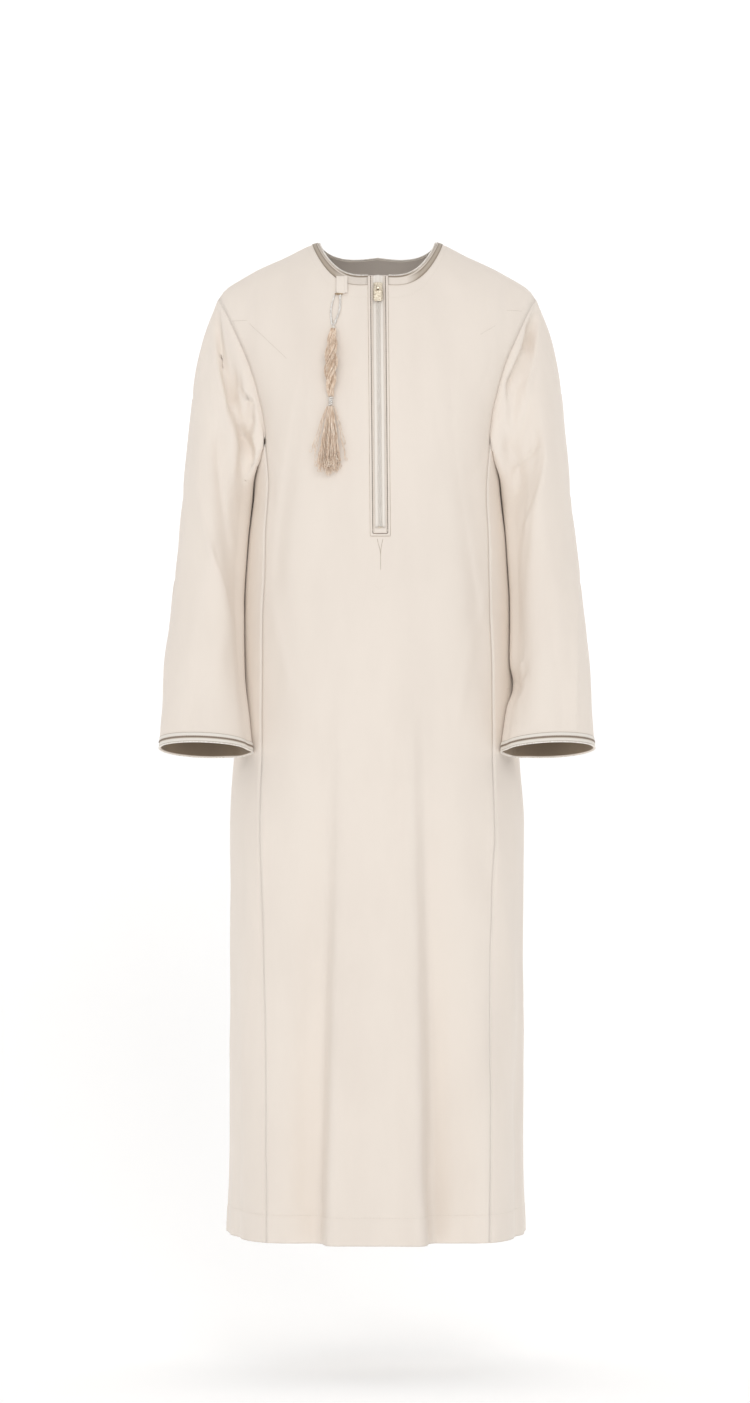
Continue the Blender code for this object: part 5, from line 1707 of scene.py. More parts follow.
class NeckTrim:
    """The taupe band round the neck, its piping, and the rows of stitches beside them."""

    piping_radius, piping_gap = 0.0012, 0.0004
    ridge = 0.00035
    ply_turn = 0.0050
    outer_row = 0.0062

    def __init__(self, robe: Robe) -> None:
        """Take the neck's rows from the front and the back, from one side of the zip round.

        Args:
            robe: the robe that it lies on.
        """
        self.robe = robe
        reach = 1 + robe.form.neck_reach + 1e-9
        at = robe.columns_at
        left, right = (at > 1 - 1e-9) & (at < reach), (at < -1 + 1e-9) & (at > -reach)
        behind = np.abs(at[::-1]) < reach - 2e-9
        rows = slice(robe.top, None)
        joined = [np.concatenate([front[rows][:, left], back[rows][:, behind],
                                  front[rows][:, right]], axis=1)
                  for front, back in ((robe.front.points, robe.back.points),
                                      (robe.front.normals, robe.back.normals))]
        self.sheet = Sheet(joined[0], normals=unit(joined[1]))

    def line(self, share: float) -> tuple[Array, Array]:
        """Points and normals round the neck, at a share of the band's width from its outer line."""
        row = int(round(share * (self.sheet.points.shape[0] - 1)))
        return self.sheet.points[row], self.sheet.normals[row]

    def build(self, shop: Workshop) -> None:
        """Sew the band with two soft ridges, lay the piping in two plies and the stitch rows.

        Args:
            shop: what makes the pieces.
        """
        rows, columns = self.sheet.points.shape[:2]
        share = np.linspace(0, 1, rows)[:, None]
        along = span_from(self.sheet.points, 1, False)
        flat = np.stack(np.broadcast_arrays(along, share), axis=-1)
        ridges = self.ridge * (bump(share - 0.30, 0.16) + bump(share - 0.72, 0.14))
        raised = self.sheet.moved(ridges)
        band = raised.sewn(shop, "neck_banding", NECK_BANDING, TRIM_OUT, TRIM, flat)
        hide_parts("neck_band")
        self.robe.declare(band, self.sheet)

        edge, normals = self.line(1.0)
        inward = unit(edge - self.sheet.points[-2])
        middle = edge - normals * CLOTH / 2 + inward * (self.piping_radius + self.piping_gap)
        path, leaning = resampled(middle, 0.0011, normals)
        piping = plied(shop, "neck_piping_cord", path, unit(leaning), self.piping_radius, 2,
                       self.ply_turn, SATIN_CORD)
        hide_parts("neck_piping")

        for name, finish, share, radius in (("neck_stitches_inner", BROWN_THREAD, 0.93, 0.00034),
                                            ("neck_stitches_outer", TAUPE_THREAD, 0.06, 0.00026)):
            path, normals = self.line(share)
            shop.stitches(name, path, normals, finish, 0.0017, 0.0008, radius, TRIM_OUT)
        form = self.robe.form
        columns = np.linspace(-1 - form.neck_reach, -1, 40)
        for name, side in (("neck_topstitch_right", 1), ("neck_topstitch_left", -1)):
            places = form.ring(Face.FRONT, columns, form.band + self.outer_row,
                               form.band_run + self.outer_row)
            places = np.stack([-side * places[:, 0], places[:, 2]], 1)[2:]
            path, normals = self.robe.on_front(places)
            shop.stitches(name, path, normals, CREAM_THREAD, 0.0020, 0.0009, 0.00018)


def plied(shop: Workshop, name: str, path: Array, normals: Array, radius: Array | float,
          plies: int, turn: float, finish: Finish) -> bpy.types.Object:
    """Make a cord of twisted plies: each runs round the path as a helix, off its middle by half
    the cord's radius, which leaves each ply just over half as thick as the cord.

    Args:
        shop: what makes the piece.
        name: the piece's name.
        path: points of the cord's middle, closely and evenly spaced.
        normals: an axis square to the path at each point.
        radius: the cord's radius, or one at each point.
        plies: how many plies.
        turn: the length of one full turn.
        finish: its finish.

    Returns:
        The object.
    """
    radius = np.broadcast_to(radius, len(path))
    tangent = unit(np.gradient(path, axis=0))
    side = unit(np.cross(tangent, normals))
    angle = 2 * math.pi * travelled(path) / turn
    angle = angle[None] + np.linspace(0, 2 * math.pi, plies, endpoint=False)[:, None]
    off = np.cos(angle)[..., None] * normals + np.sin(angle)[..., None] * side
    paths = path[None] + 0.48 * radius[:, None] * off
    guides = np.repeat(normals[None], plies, 0)
    return shop.tubes(name, paths, 0.60 * radius[None], 7, finish, normals=guides)


class Cuffs:
    """The banding round each cuff, its rolled edge, its row of stitches and its facing."""

    ridge = 0.00045
    roll_radius = 0.0009
    stitch_share = 0.44
    facing_depth = 0.045
    facing_cloth = 0.0006

    def __init__(self, robe: Robe) -> None:
        """Take the sleeves from the robe."""
        self.robe = robe

    def build(self, shop: Workshop) -> None:
        """Dress both cuffs."""
        for side in Side:
            self.cuff(shop, side)

    def cuff(self, shop: Workshop, side: Side) -> None:
        """Dress one cuff: the banding's relief is two bell curves across it, and its edge is a
        cord that closes on itself.

        Args:
            shop: what makes the pieces.
            side: the wearer's side.
        """
        sleeve, form = self.robe.sleeves[side], self.robe.form
        rows = form.cuff_cells + 1
        sheet = sleeve.stretch(slice(-rows, None), slice(None))
        share = np.linspace(0, 1, rows)[:, None]
        around = np.concatenate([sheet.points, sheet.points[:, :1]], axis=1)
        along = span_from(around, 1, False)
        flat = np.stack(np.broadcast_arrays(along, share), axis=-1)
        ridges = self.ridge * (bump(share - 0.20, 0.12) + bump(share - 0.68, 0.12))
        band = sheet.moved(ridges).sewn(shop, f"cuff_banding_{side.word}", CUFF_BANDING,
                                        TRIM_OUT, TRIM, flat)
        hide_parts(f"cuff_band_{side.word}")
        self.robe.declare(band, sheet)

        edge, normals = sheet.points[-1], sheet.normals[-1]
        shop.tubes(f"cuff_roll_{side.word}", (edge + normals * self.roll_radius * 0.5)[None],
                   self.roll_radius, 9, SATIN_CORD, normals=normals[None], closed=True)
        row = int(round(self.stitch_share * form.cuff_cells))
        path = np.concatenate([sheet.points[row], sheet.points[row, :1]])
        normals = np.concatenate([sheet.normals[row], sheet.normals[row, :1]])
        shop.stitches(f"cuff_stitches_{side.word}", path, normals, BROWN_THREAD, 0.0022, 0.0009,
                      0.00048, TRIM_OUT)

        # The facing: taupe-brown cloth inside the cuff; its dark colour is partly the cloth's own and
        # partly painted shade inside the opening.
        depth = 1 - self.facing_depth / form.sleeve_length
        first = int(np.argmin(np.abs(self.robe.steps - depth)))
        lining = sleeve.stretch(slice(first, None), slice(None))
        lining = lining.moved(-CLOTH - SEAM_GAP)
        share = ((self.robe.steps[first:] - depth) / (1 - depth))[:, None]
        flat = np.stack(np.broadcast_arrays(along[:1], share), axis=-1)
        facing = lining.sewn(shop, f"cuff_facing_{side.word}", CUFF_LINING_AND_SHADE, 0.0, self.facing_cloth,
                             flat, pull=0.0008)
        self.robe.declare(facing, lining)


class Placket:
    """The strip that frames the zip: its cloth, its edging lines, its beaded chain and its point."""

    ridge = 0.00020
    chain = 0.72
    edge = 0.97
    lip = 0.56
    bar_row = 0.0040
    corner = 0.12
    spike = ((0.0000, -0.4125), (0.0015, -0.4190), (0.0038, -0.4270), (0.0047, -0.4340),
             (0.0049, -0.4560))
    spike_back = ((0.0080, -0.4125), (0.0066, -0.4190), (0.0052, -0.4270), (0.0049, -0.4340))
    vee = ((-0.0055, -0.4733), (0.0028, -0.4816), (0.0138, -0.4747))

    def __init__(self, robe: Robe) -> None:
        """Take the front from the robe."""
        self.robe = robe

    def rows_from(self, height: float, top: float = 2.0) -> Array:
        """The front's rows from a height up to a row.

        Args:
            height: the height of the lowest row.
            top: the last row.

        Returns:
            The rows.
        """
        rows = self.robe.rows_at
        low = height - self.robe.form.underarm
        return np.concatenate([[low], rows[(rows > low + 0.0005) & (rows <= top)]])

    def lay(self, columns: Array, rows: Array, spacing: float) -> tuple[Array, Array]:
        """An evenly spaced path on the front, and the normals along it.

        Args:
            columns: places across the panel, as its columns count them.
            rows: places up the panel, as its rows count them.
            spacing: the length between two points.

        Returns:
            The path and the normals.
        """
        points, normals = self.robe.spot(columns, rows)
        path, leaning = resampled(points, spacing, normals)
        return path, unit(leaning)

    def frame_line(self, column: float, foot: float, spacing: float) -> tuple[Array, Array]:
        """A path down one side of the placket, round its foot's corners, quarter turns, and up
        the other side.

        Args:
            column: the column of its two sides.
            foot: the height of its foot.
            spacing: the length between two points.

        Returns:
            The path and the normals.
        """
        drop = self.corner * self.robe.form.placket_half
        up = self.rows_from(foot + drop)
        turn = np.linspace(0, math.pi / 2, 7)[1:]
        across = column - self.corner * (1 - np.cos(turn))
        height = foot - self.robe.form.underarm + drop * (1 - np.sin(turn))
        between = np.linspace(-across[-1], across[-1], 9)[1:-1]
        columns = np.concatenate([np.full(len(up), -column), -across, between, across[::-1],
                                  np.full(len(up), column)])
        rows = np.concatenate([up[::-1], height, np.full(len(between), height[-1]), height[::-1], up])
        return self.lay(columns, rows, spacing)

    def build(self, shop: Workshop) -> None:
        """Sew the frame and everything stitched on it.

        Args:
            shop: what makes the pieces.
        """
        robe, form = self.robe, self.robe.form
        inside = np.abs(robe.columns_at) <= 1 + 1e-9
        first = robe.foot_row
        points = robe.front.points[first:][:, inside]
        normals = robe.front.normals[first:][:, inside]
        at = robe.columns_at[inside]
        keep = np.ones((points.shape[0] - 1, points.shape[1] - 1), bool)
        keep[robe.slit_row - first:, np.abs(at[:-1] + at[1:]) / 2 < form.slit_share] = False
        sheet = Sheet(points, keep, False, normals)
        ridges = self.ridge * (bump(np.abs(at) - self.lip, 0.05) + bump(np.abs(at) - 0.90, 0.05))
        frame_cloth = sheet.moved(ridges[None]).sewn(shop, "placket_cloth", ROBE_CLOTH, TRIM_OUT,
                                                     TRIM)
        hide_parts("placket_frame")
        robe.declare(frame_cloth, sheet)

        lift = TRIM_OUT
        path, normals = self.frame_line(self.edge, form.placket_foot + 0.0003, 0.0015)
        shop.tubes("placket_edge_line", (path + normals * lift)[None], 0.00028, 6, TAUPE_THREAD,
                   normals=normals[None])
        path, normals = self.frame_line(self.chain, form.placket_foot + self.bar_row, 0.0010)
        low = path[:, 2] < form.slit_foot - 0.0035
        shop.stitches("placket_chain_right", path[:np.argmax(low)], normals[:np.argmax(low)],
                      BROWN_THREAD, 0.0024, 0.0005, 0.00066, lift)
        back = len(low) - np.argmax(low[::-1])
        shop.stitches("placket_chain_left", path[back:], normals[back:], BROWN_THREAD, 0.0024,
                      0.0005, 0.00066, lift)
        shop.tubes("placket_foot_bar", (path[low] + normals[low] * (lift + 0.0002))[None], 0.00052,
                   7, BROWN_THREAD, normals=normals[low][None])
        for name, column in (("placket_inner_line_right", -self.lip - 0.03),
                             ("placket_inner_line_left", self.lip + 0.03)):
            rows = self.rows_from(form.placket_foot + self.bar_row + 0.001)
            path, normals = self.lay(np.full(len(rows), column), rows, 0.0020)
            shop.tubes(name, (path + normals * (lift + 0.0001))[None], 0.00020, 6, TAUPE_THREAD,
                       normals=normals[None])
        for name, places in (("point_line_right", self.spike), ("point_line_left", self.spike_back)):
            path, normals = robe.on_front(resampled(np.array(places), 0.0015)[0])
            shop.tubes(name, path[None], 0.0003, 6, TAUPE_THREAD, normals=normals[None])
        path, normals = robe.on_front(resampled(np.array(self.vee), 0.0015)[0])
        shop.stitches("point_stitch", path, normals, CREAM_THREAD, 0.0020, 0.0009, 0.00018)


class Zip:
    """The zip: its tape in the slit, two rows of coiled teeth and, in the slider's own frame
    (across, up the zip, out from the tape), the slider, its bridge and the pull tab."""

    height = -0.0700
    line = 0.20
    coil_off, coil_reach, coil_rise = 0.0012, 0.0009, 0.0005
    coil_turn, coil_wire, coil_stations = 0.0013, 0.00024, 9
    half, length, thick = 0.0062, 0.0061, 0.0026
    vee, shoulder, dome = 0.0022, 0.0012, 0.0005
    bridge_half, bridge_foot, bridge_head = 0.0015, -0.0058, 0.0022
    bridge_rise, bar = 0.0032, 0.0011
    pull_half, pull_length, pull_thick = 0.0065, 0.0200, 0.0012
    eye_half, eye_foot = 0.0022, 0.0034
    pivot_up, pivot_out = -0.0036, 0.0010
    corner, border, border_rise, knurl, knurl_rise = 0.0034, 0.0008, 0.00028, 0.0011, 0.00010

    def __init__(self, robe: Robe) -> None:
        """Find the slider's frame on the tape.

        Args:
            robe: the robe that it lies on.
        """
        self.robe = robe
        middle = float(robe.form.placket_shift(np.array(self.height)))
        points, normals = robe.on_front(np.array([[middle, self.height]]))
        self.across = np.array([1.0, 0.0, 0.0])
        self.up = unit(np.cross(normals[0], self.across))
        self.out = np.cross(self.across, self.up)
        self.place = points[0]

    def placed(self, local: Array, pivot: Sequence[float] = (0.0, 0.0, 0.0)) -> Array:
        """Points of the slider's frame, off a pivot, in the robe's."""
        local = np.asarray(local) + np.array(pivot)
        return self.place + local @ np.stack([self.across, self.up, self.out])

    def build(self, shop: Workshop) -> None:
        """Lay the tape, the teeth and the metal.

        Args:
            shop: what makes the pieces.
        """
        self.tape(shop)
        self.slider(shop)
        self.pull(shop)

    def tape(self, shop: Workshop) -> None:
        """The tape, its stitched lines, its teeth, each row a helix flattened on the tape, and the
        stop at the foot.

        Args:
            shop: what makes the pieces.
        """
        robe, form = self.robe, self.robe.form
        inside = np.abs(robe.columns_at) <= form.slit_share + 1e-9
        points = robe.front.points[robe.slit_row:][:, inside]
        sheet = Sheet(points, None, False, robe.front.normals[robe.slit_row:][:, inside])
        made = sheet.sewn(shop, "zip_tape_cloth", ZIP_TAPE, -SEAM_GAP, TRIM)
        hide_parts("zip_tape")
        robe.declare(made, sheet)
        rows = robe.rows_at[robe.slit_row:]
        low = rows[rows < self.height - 0.010 - form.underarm]
        for name, side in (("right", -1), ("left", 1)):
            path, normals = robe.spot(np.full(len(rows), side * self.line), rows)
            shop.stitches(f"zip_tape_line_{name}", path, normals, TAUPE_THREAD, 0.0020, 0.0010,
                          0.00022, -SEAM_GAP)
        path, normals = robe.spot(np.zeros(len(rows)), rows)
        path, normals = resampled(path, self.coil_turn / self.coil_stations, normals)
        below = path[:, 2] < self.height - self.length
        path, normals = path[below], unit(normals[below])
        angle = 2 * math.pi * travelled(path) / self.coil_turn
        square = unit(np.cross(normals, np.gradient(path, axis=0)))
        coils = []
        for side in (-1, 1):
            reach = side * (self.coil_off + self.coil_reach * np.cos(angle))
            rise = self.coil_rise * np.sin(angle) + self.coil_wire
            coils.append(path + square * reach[:, None] + normals * rise[:, None])
        shop.tubes("zip_coils", np.stack(coils), self.coil_wire, 5, ZIP_TEETH,
                   normals=np.repeat(normals[None], 2, 0))
        stop = np.linspace(-0.0022, 0.0022, 7)
        ends = path[2] + normals[2] * 0.0005 + np.outer(stop, square[2])
        shop.tubes("zip_foot_stop", ends[None], 0.0007, 9, ZIP_METAL,
                   normals=np.repeat(normals[2][None], 7, 0)[None])

    def slider(self, shop: Workshop) -> None:
        """The slider: a domed plate, shouldered at the top and pointed at the foot, and the
        bridge, half a superellipse, which carries the pull.

        Args:
            shop: what makes the pieces.
        """
        across = np.linspace(-1, 1, 25)[None, :]
        along = np.linspace(0, 1, 25)[:, None]
        low = -self.length + self.vee * np.abs(across) ** 1.3
        high = self.length - self.shoulder * across ** 4
        taper = 1 - 0.14 * (1 - along) ** 2
        edge = np.maximum(np.abs(across), np.abs(2 * along - 1))
        rise = self.thick - 0.0005 + self.dome * (1 - edge ** 4)
        local = np.stack(np.broadcast_arrays(across * self.half * taper, low + (high - low) * along,
                                             rise), axis=-1)
        plate = Sheet(self.placed(local))
        made = plate.sewn(shop, "zip_slider_plate", ZIP_METAL, 0.0, self.thick - 0.0009)
        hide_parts("zip_slider")
        turn = np.linspace(math.pi, 0, 21)
        middle = (self.bridge_foot + self.bridge_head) / 2
        reach = (self.bridge_head - self.bridge_foot) / 2
        y = middle + reach * np.sign(np.cos(turn)) * np.abs(np.cos(turn)) ** 0.5
        z = self.thick - 0.0006 + (self.bridge_rise + 0.0006) * np.sin(turn) ** 0.5
        x = np.linspace(-self.bridge_half, self.bridge_half, 7)
        local = np.stack(np.broadcast_arrays(x[None, :], y[:, None], z[:, None]), axis=-1)
        bridge = Sheet(self.placed(local))
        bridge.sewn(shop, "zip_slider_bridge", ZIP_METAL, 0.0, self.bar)

    def pull(self, shop: Workshop) -> None:
        """The pull tab: rounded at the foot, with an eye, a raised border and a knurled middle.

        Args:
            shop: what makes the pieces.
        """
        x = spaced([-self.pull_half, -self.eye_half, self.eye_half, self.pull_half], 0.00036)
        foot, head = self.pull_thick / 2 - self.pull_length, self.pull_thick / 2
        y = spaced([foot, -self.eye_foot, -self.pull_thick / 2, head], 0.00036)
        keep = np.ones((len(y) - 1, len(x) - 1), bool)
        in_eye = np.abs(x[:-1] + x[1:]) / 2 < self.eye_half
        beside = ((y[:-1] + y[1:]) / 2 > -self.eye_foot) & ((y[:-1] + y[1:]) / 2 < -self.pull_thick / 2)
        keep[np.ix_(beside, in_eye)] = False
        off_foot = np.clip((self.corner - (y - foot)) / self.corner, 0, 1)
        half = self.pull_half - self.corner * (1 - np.sqrt(1 - off_foot ** 2))
        wide = x[None, :] / self.pull_half * half[:, None]
        off_edge = np.minimum(half[:, None] - np.abs(wide), (y - foot)[:, None])
        off_edge = np.minimum(off_edge, (head - y)[:, None])
        inner = ease((off_edge - 2 * self.border) / self.border) * (y < -self.eye_foot - 0.001)[:, None]
        knurls = np.sin(math.pi * wide / self.knurl) * np.sin(math.pi * y[:, None] / self.knurl)
        below = ease(-(y[:, None] + self.pull_thick / 2) / self.border)
        rim = self.border_rise * below * bump(off_edge - self.border, self.border * 0.7)
        rise = (self.pull_thick / 2 + rim + self.knurl_rise * knurls * inner
                - 0.0003 * bump(off_edge, 0.0003))
        local = np.stack(np.broadcast_arrays(wide, y[:, None], rise), axis=-1)
        pivot = (0.0, self.pivot_up, self.thick + self.pivot_out)
        sheet = Sheet(self.placed(local, pivot), keep)
        made = sheet.sewn(shop, "zip_pull_plate", ZIP_METAL, 0.0, self.pull_thick, pull=0.0,
                          body=Body.PULL_TAB)
        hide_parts("zip_pull")


class Tassel:
    """The tassel on the wearer's right of the neck, from its cloth tab down to its strands."""

    gap = 0.0006
    tab_across, tab_half, tab_top, tab_foot = -0.0475, 0.0075, -0.0560, -0.0800
    tab_lift, tab_cloth = 0.0036, 0.0016
    ring = ((-0.0572, -0.0803), (-0.0515, -0.0806), (-0.0462, -0.0801))
    loop_radius, loop_left, loop_right, loop_foot = 0.0012, -0.0571, -0.0501, -0.1225
    loop_across, loop_half, loop_bow = -0.0590, 0.0020, 0.0030
    loop_fuller = (0.9, 1.5)
    bead_radius = 0.0026
    skein_across, skein_foot, skein_radius, skein_turns = (-0.0590, -0.0616), -0.2205, 0.0088, 1.3
    skein_end, skein_full, skein_lift_run = 0.45, 1.2, 0.35
    locks, strands, lock_turns = 3, 60, 0.8
    binding_radius, binding_height, wraps = 0.0030, 0.0130, 3.6
    skirt_across, skirt_foot = -0.0640, -0.3270
    skirt_spread, skirt_out, flare = 0.0185, 0.0046, 0.85
    skirt_root, skirt_lift, skirt_radius = 0.0027, 0.0032, 0.00031
    skirt_strands, strays, waves, wave_size = 150, 9, 3.4, 0.0011
    stray_reach, stray_more = 1.25, 0.75
    curl_size, curl_more, curl_turn = 0.0009, 0.0011, 4.6

    def __init__(self, robe: Robe) -> None:
        """Take the robe that it hangs on, and draw its chance from a fixed seed."""
        self.robe = robe
        self.chance = np.random.default_rng(7)

    def build(self, shop: Workshop) -> None:
        """Make the tab, the cord, the bead, the skein, its binding and the strands.

        Args:
            shop: what makes the pieces.
        """
        self.tab(shop)
        self.cord(shop)
        bead = self.bead(shop)
        foot = self.skein(shop, bead)
        foot = self.binding(shop, foot)
        self.skirt(shop, foot)

    def tab(self, shop: Workshop) -> None:
        """The folded tab, thicker at its fold, and the brown and gold cord along its foot.

        Args:
            shop: what makes the pieces.
        """
        across = np.linspace(-1, 1, 25)
        height = np.linspace(self.tab_foot, self.tab_top, 33)
        x = self.tab_across + self.tab_half * across[None, :] + 0 * height[:, None]
        z = height[:, None] + 0.0012 * across[None, :] ** 2 * (height[:, None] < -0.078)
        points, normals = self.robe.on_front(np.stack([x.ravel(), z.ravel()], 1), 0.0)
        sheet = Sheet(points.reshape(33, 25, 3))
        fold = (0.0007 * bump(across - 0.62, 0.20) - 0.0005 * bump(across - 0.30, 0.12)
                + 0.0004 * bump(across + 0.75, 0.20))
        sag = 0.0004 * np.sin(2.2 * math.pi * (height + 0.004) / 0.024)
        raised = sheet.moved(fold[None, :] + sag[:, None] * (1 - across[None, :] ** 2))
        made = raised.sewn(shop, "tassel_tab_cloth", ROBE_CLOTH, self.tab_lift, self.tab_cloth)
        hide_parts("tassel_tab")
        self.robe.declare(made, sheet)
        path, normals = self.robe.on_front(resampled(np.array(self.ring), 0.0006)[0], self.tab_lift * 0.7)
        plied(shop, "tassel_tab_ring", path, normals, 0.0011, 2, 0.0030, GOLD_THREAD)

    def cord(self, shop: Workshop) -> None:
        """The cord's loop: down from the tab, round its foot and up again, bowed by a sine.

        Args:
            shop: what makes the pieces.
        """
        part = np.linspace(0, 1, 30)
        head = self.tab_foot - SEAM_GAP - self.loop_radius
        foot = self.loop_foot + self.loop_half
        runs = []
        for start, sign in ((self.loop_left, -1), (self.loop_right, 1)):
            end = self.loop_across + sign * self.loop_half
            x = start + (end - start) * part + sign * self.loop_bow * np.sin(math.pi * part)
            runs.append(np.stack([x, head + (foot - head) * part], 1))
        turn = np.linspace(math.pi, 2 * math.pi, 9)[1:-1]
        bend = np.stack([self.loop_across + self.loop_half * np.cos(turn),
                         foot + self.loop_half * np.sin(turn)], 1)
        route = resampled(np.concatenate([runs[0], bend, runs[1][::-1]]), 0.0005)[0]
        path, normals = self.robe.on_front(route, self.loop_radius + self.gap)
        fuller = np.linspace(*self.loop_fuller, len(path))
        made = plied(shop, "tassel_cord", path, normals, self.loop_radius * fuller, 2, 0.0042,
                     SILVER_THREAD)
        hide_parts("tassel_cord_loop")

    def bead(self, shop: Workshop) -> Array:
        """The bead, its radius by a sine, and the brown knot below it.

        Args:
            shop: what makes the pieces.

        Returns:
            The top of the skein.
        """
        height = self.loop_foot - self.loop_radius - SEAM_GAP - self.bead_radius
        place = np.array([[self.loop_across, height]])
        centre = self.robe.on_front(place, self.bead_radius + self.gap)[0][0]
        turn = np.linspace(0.06, math.pi - 0.06, 15)
        path = centre + np.outer(self.bead_radius * np.cos(turn), [0, 0, 1])
        made = shop.tubes("tassel_bead_wound", path[None], self.bead_radius * np.sin(turn), 18,
                          SATIN_CORD)
        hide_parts("tassel_bead")
        around = np.linspace(0, 2 * math.pi, 24, endpoint=False)
        circle = np.stack([np.cos(around), np.sin(around), 0 * around], 1)
        rings = [centre + circle * reach - (0, 0, drop)
                 for reach, drop in ((0.0017, 0.0026), (0.0022, 0.0038))]
        shop.tubes("tassel_knot", np.stack(rings), 0.0009, 7, GOLD_THREAD,
                   normals=np.tile([0.0, 0.0, 1.0], (2, 24, 1)), closed=True)
        return centre - (0, 0, self.bead_radius + SEAM_GAP)

    @staticmethod
    def around(path: Array, reach: Array, angle: Array) -> Array:
        """Points off a path by a reach at an angle, in the plane across it and outwards."""
        off = np.stack([np.cos(angle), -np.sin(angle), 0 * angle], axis=-1)
        return path + off * reach[..., None]

    def skein(self, shop: Workshop, top: Array) -> Array:
        """The skein: three locks twisted round each other, each of strands that twist in it.

        Args:
            shop: what makes the pieces.
            top: its top.

        Returns:
            Its foot.
        """
        part = np.linspace(0, 1, 46)
        x = self.skein_across[0] + (self.skein_across[1] - self.skein_across[0]) * part
        height = top[2] + (self.skein_foot - top[2]) * part
        rise = ease(np.minimum(part, 1 - part) / self.skein_lift_run)
        lift = self.skein_radius * 1.28 * (self.skein_end + (1 - self.skein_end) * rise)
        path, normals = self.robe.on_front(np.stack([x, height], 1))
        path = path + normals * (lift + 2 * self.gap)[:, None]
        path[:, 1] = np.polyval(np.polyfit(part, path[:, 1], 6), part)
        belly = np.sin(math.pi * part).clip(0) ** self.skein_full
        swell = self.skein_radius * (self.skein_end + (1 - self.skein_end) * belly)
        strands = []
        for lock in range(self.locks):
            turn = 2 * math.pi * (lock / self.locks + self.skein_turns * part)
            middle = self.around(path, swell * 0.56, turn)
            reach = np.sqrt(self.chance.random(self.strands))
            start = self.chance.random(self.strands) * 2 * math.pi
            for far, angle in zip(reach, start):
                twist = angle + 2 * math.pi * self.lock_turns * part
                loose = 1 + 0.10 * np.sin(6 * math.pi * part + angle * 3)
                strands.append(self.around(middle, swell * 0.50 * far * loose, twist))
        made = shop.tubes("tassel_skein_strands", np.stack(strands), 0.00042, 5, FLOSS)
        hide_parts("tassel_skein")
        # The core: a darker tube inside the strands, whose colour paints the shade deep in the skein.
        shop.tubes("tassel_skein_core", path[None], swell[None] * 0.50, 12, FLOSS_PAINTED_SHADE)
        return path[-1]

    def binding(self, shop: Workshop, top: Array) -> Array:
        """The binding: a cord wound as a helix.

        Args:
            shop: what makes the piece.
            top: its top.

        Returns:
            Its foot.
        """
        stations = int(self.wraps * 22)
        part = np.linspace(0, 1, stations)
        wire = self.binding_height / (self.wraps + 1) / 2
        path = top - np.outer(wire + (self.binding_height - 2 * wire) * part, [0, 0, 1])
        reach = np.full(stations, self.binding_radius - wire * 0.8)
        path = self.around(path, reach, 2 * math.pi * self.wraps * part)
        made = plied(shop, "tassel_binding_cord", path, np.tile([0.0, 0.0, 1.0], (stations, 1)),
                     wire * 0.95, 2, 0.0038, SILVER_THREAD)
        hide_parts("tassel_binding")
        return top - (0, 0, self.binding_height + SEAM_GAP)

    def skirt(self, shop: Workshop, top: Array) -> None:
        """The strands: each fans out from the binding, waves, and ends in a small loop, an arc of
        a circle beside its end; a few stray ones fan out further.

        Args:
            shop: what makes the pieces.
            top: where it starts.
        """
        foot = self.robe.on_front(np.array([[self.skirt_across, self.skirt_foot]]),
                                  self.skirt_out + self.skirt_lift)[0][0]
        count = self.skirt_strands + self.strays
        stray = np.arange(count) >= self.skirt_strands
        reach, angle = np.sqrt(self.chance.random(count)), self.chance.random(count) * 2 * math.pi
        reach = np.where(stray, self.stray_reach + self.stray_more * self.chance.random(count), reach)
        angle = np.where(stray, np.round(self.chance.random(count)) * math.pi
                         + 0.5 * (self.chance.random(count) - 0.5), angle)
        length = 1.0 - 0.16 * self.chance.random(count) - 0.10 * reach ** 2
        part = np.linspace(0, 1, 30)[None, :] * length[:, None]
        fan = part ** self.flare
        wide = self.skirt_root * (1 - fan) + self.skirt_spread * fan
        deep = self.skirt_root * (1 - fan) + self.skirt_out * fan
        across, out = (reach * np.cos(angle))[:, None], (np.minimum(reach, 1) * np.sin(angle))[:, None]
        phase = self.chance.random((2, count, 1)) * 2 * math.pi
        turns = self.waves * (0.7 + 0.6 * self.chance.random((count, 1)))
        size = self.wave_size * part * (0.5 + self.chance.random((count, 1)))
        wave = [size * np.sin(2 * math.pi * turns * part + start) for start in phase]
        path = top + part[..., None] * (foot - top)
        path = path + np.stack([across * wide + wave[0], -out * deep + wave[1] * 0.7, 0 * part], -1)
        side = np.sign(self.chance.random(count) - 0.5)[:, None]
        size = (self.curl_size + self.curl_more * self.chance.random(count))[:, None]
        bend = np.linspace(0, self.curl_turn, 10)[None, 1:]
        curl = np.stack([side * size * (1 - np.cos(bend)), 0.3 * size * np.sin(bend / 2),
                         -size * np.sin(bend)], -1)
        paths = np.concatenate([path, path[:, -1:] + curl], axis=1)
        made = shop.tubes("tassel_strands", paths, self.skirt_radius, 5, FLOSS)
        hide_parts("tassel_skirt")


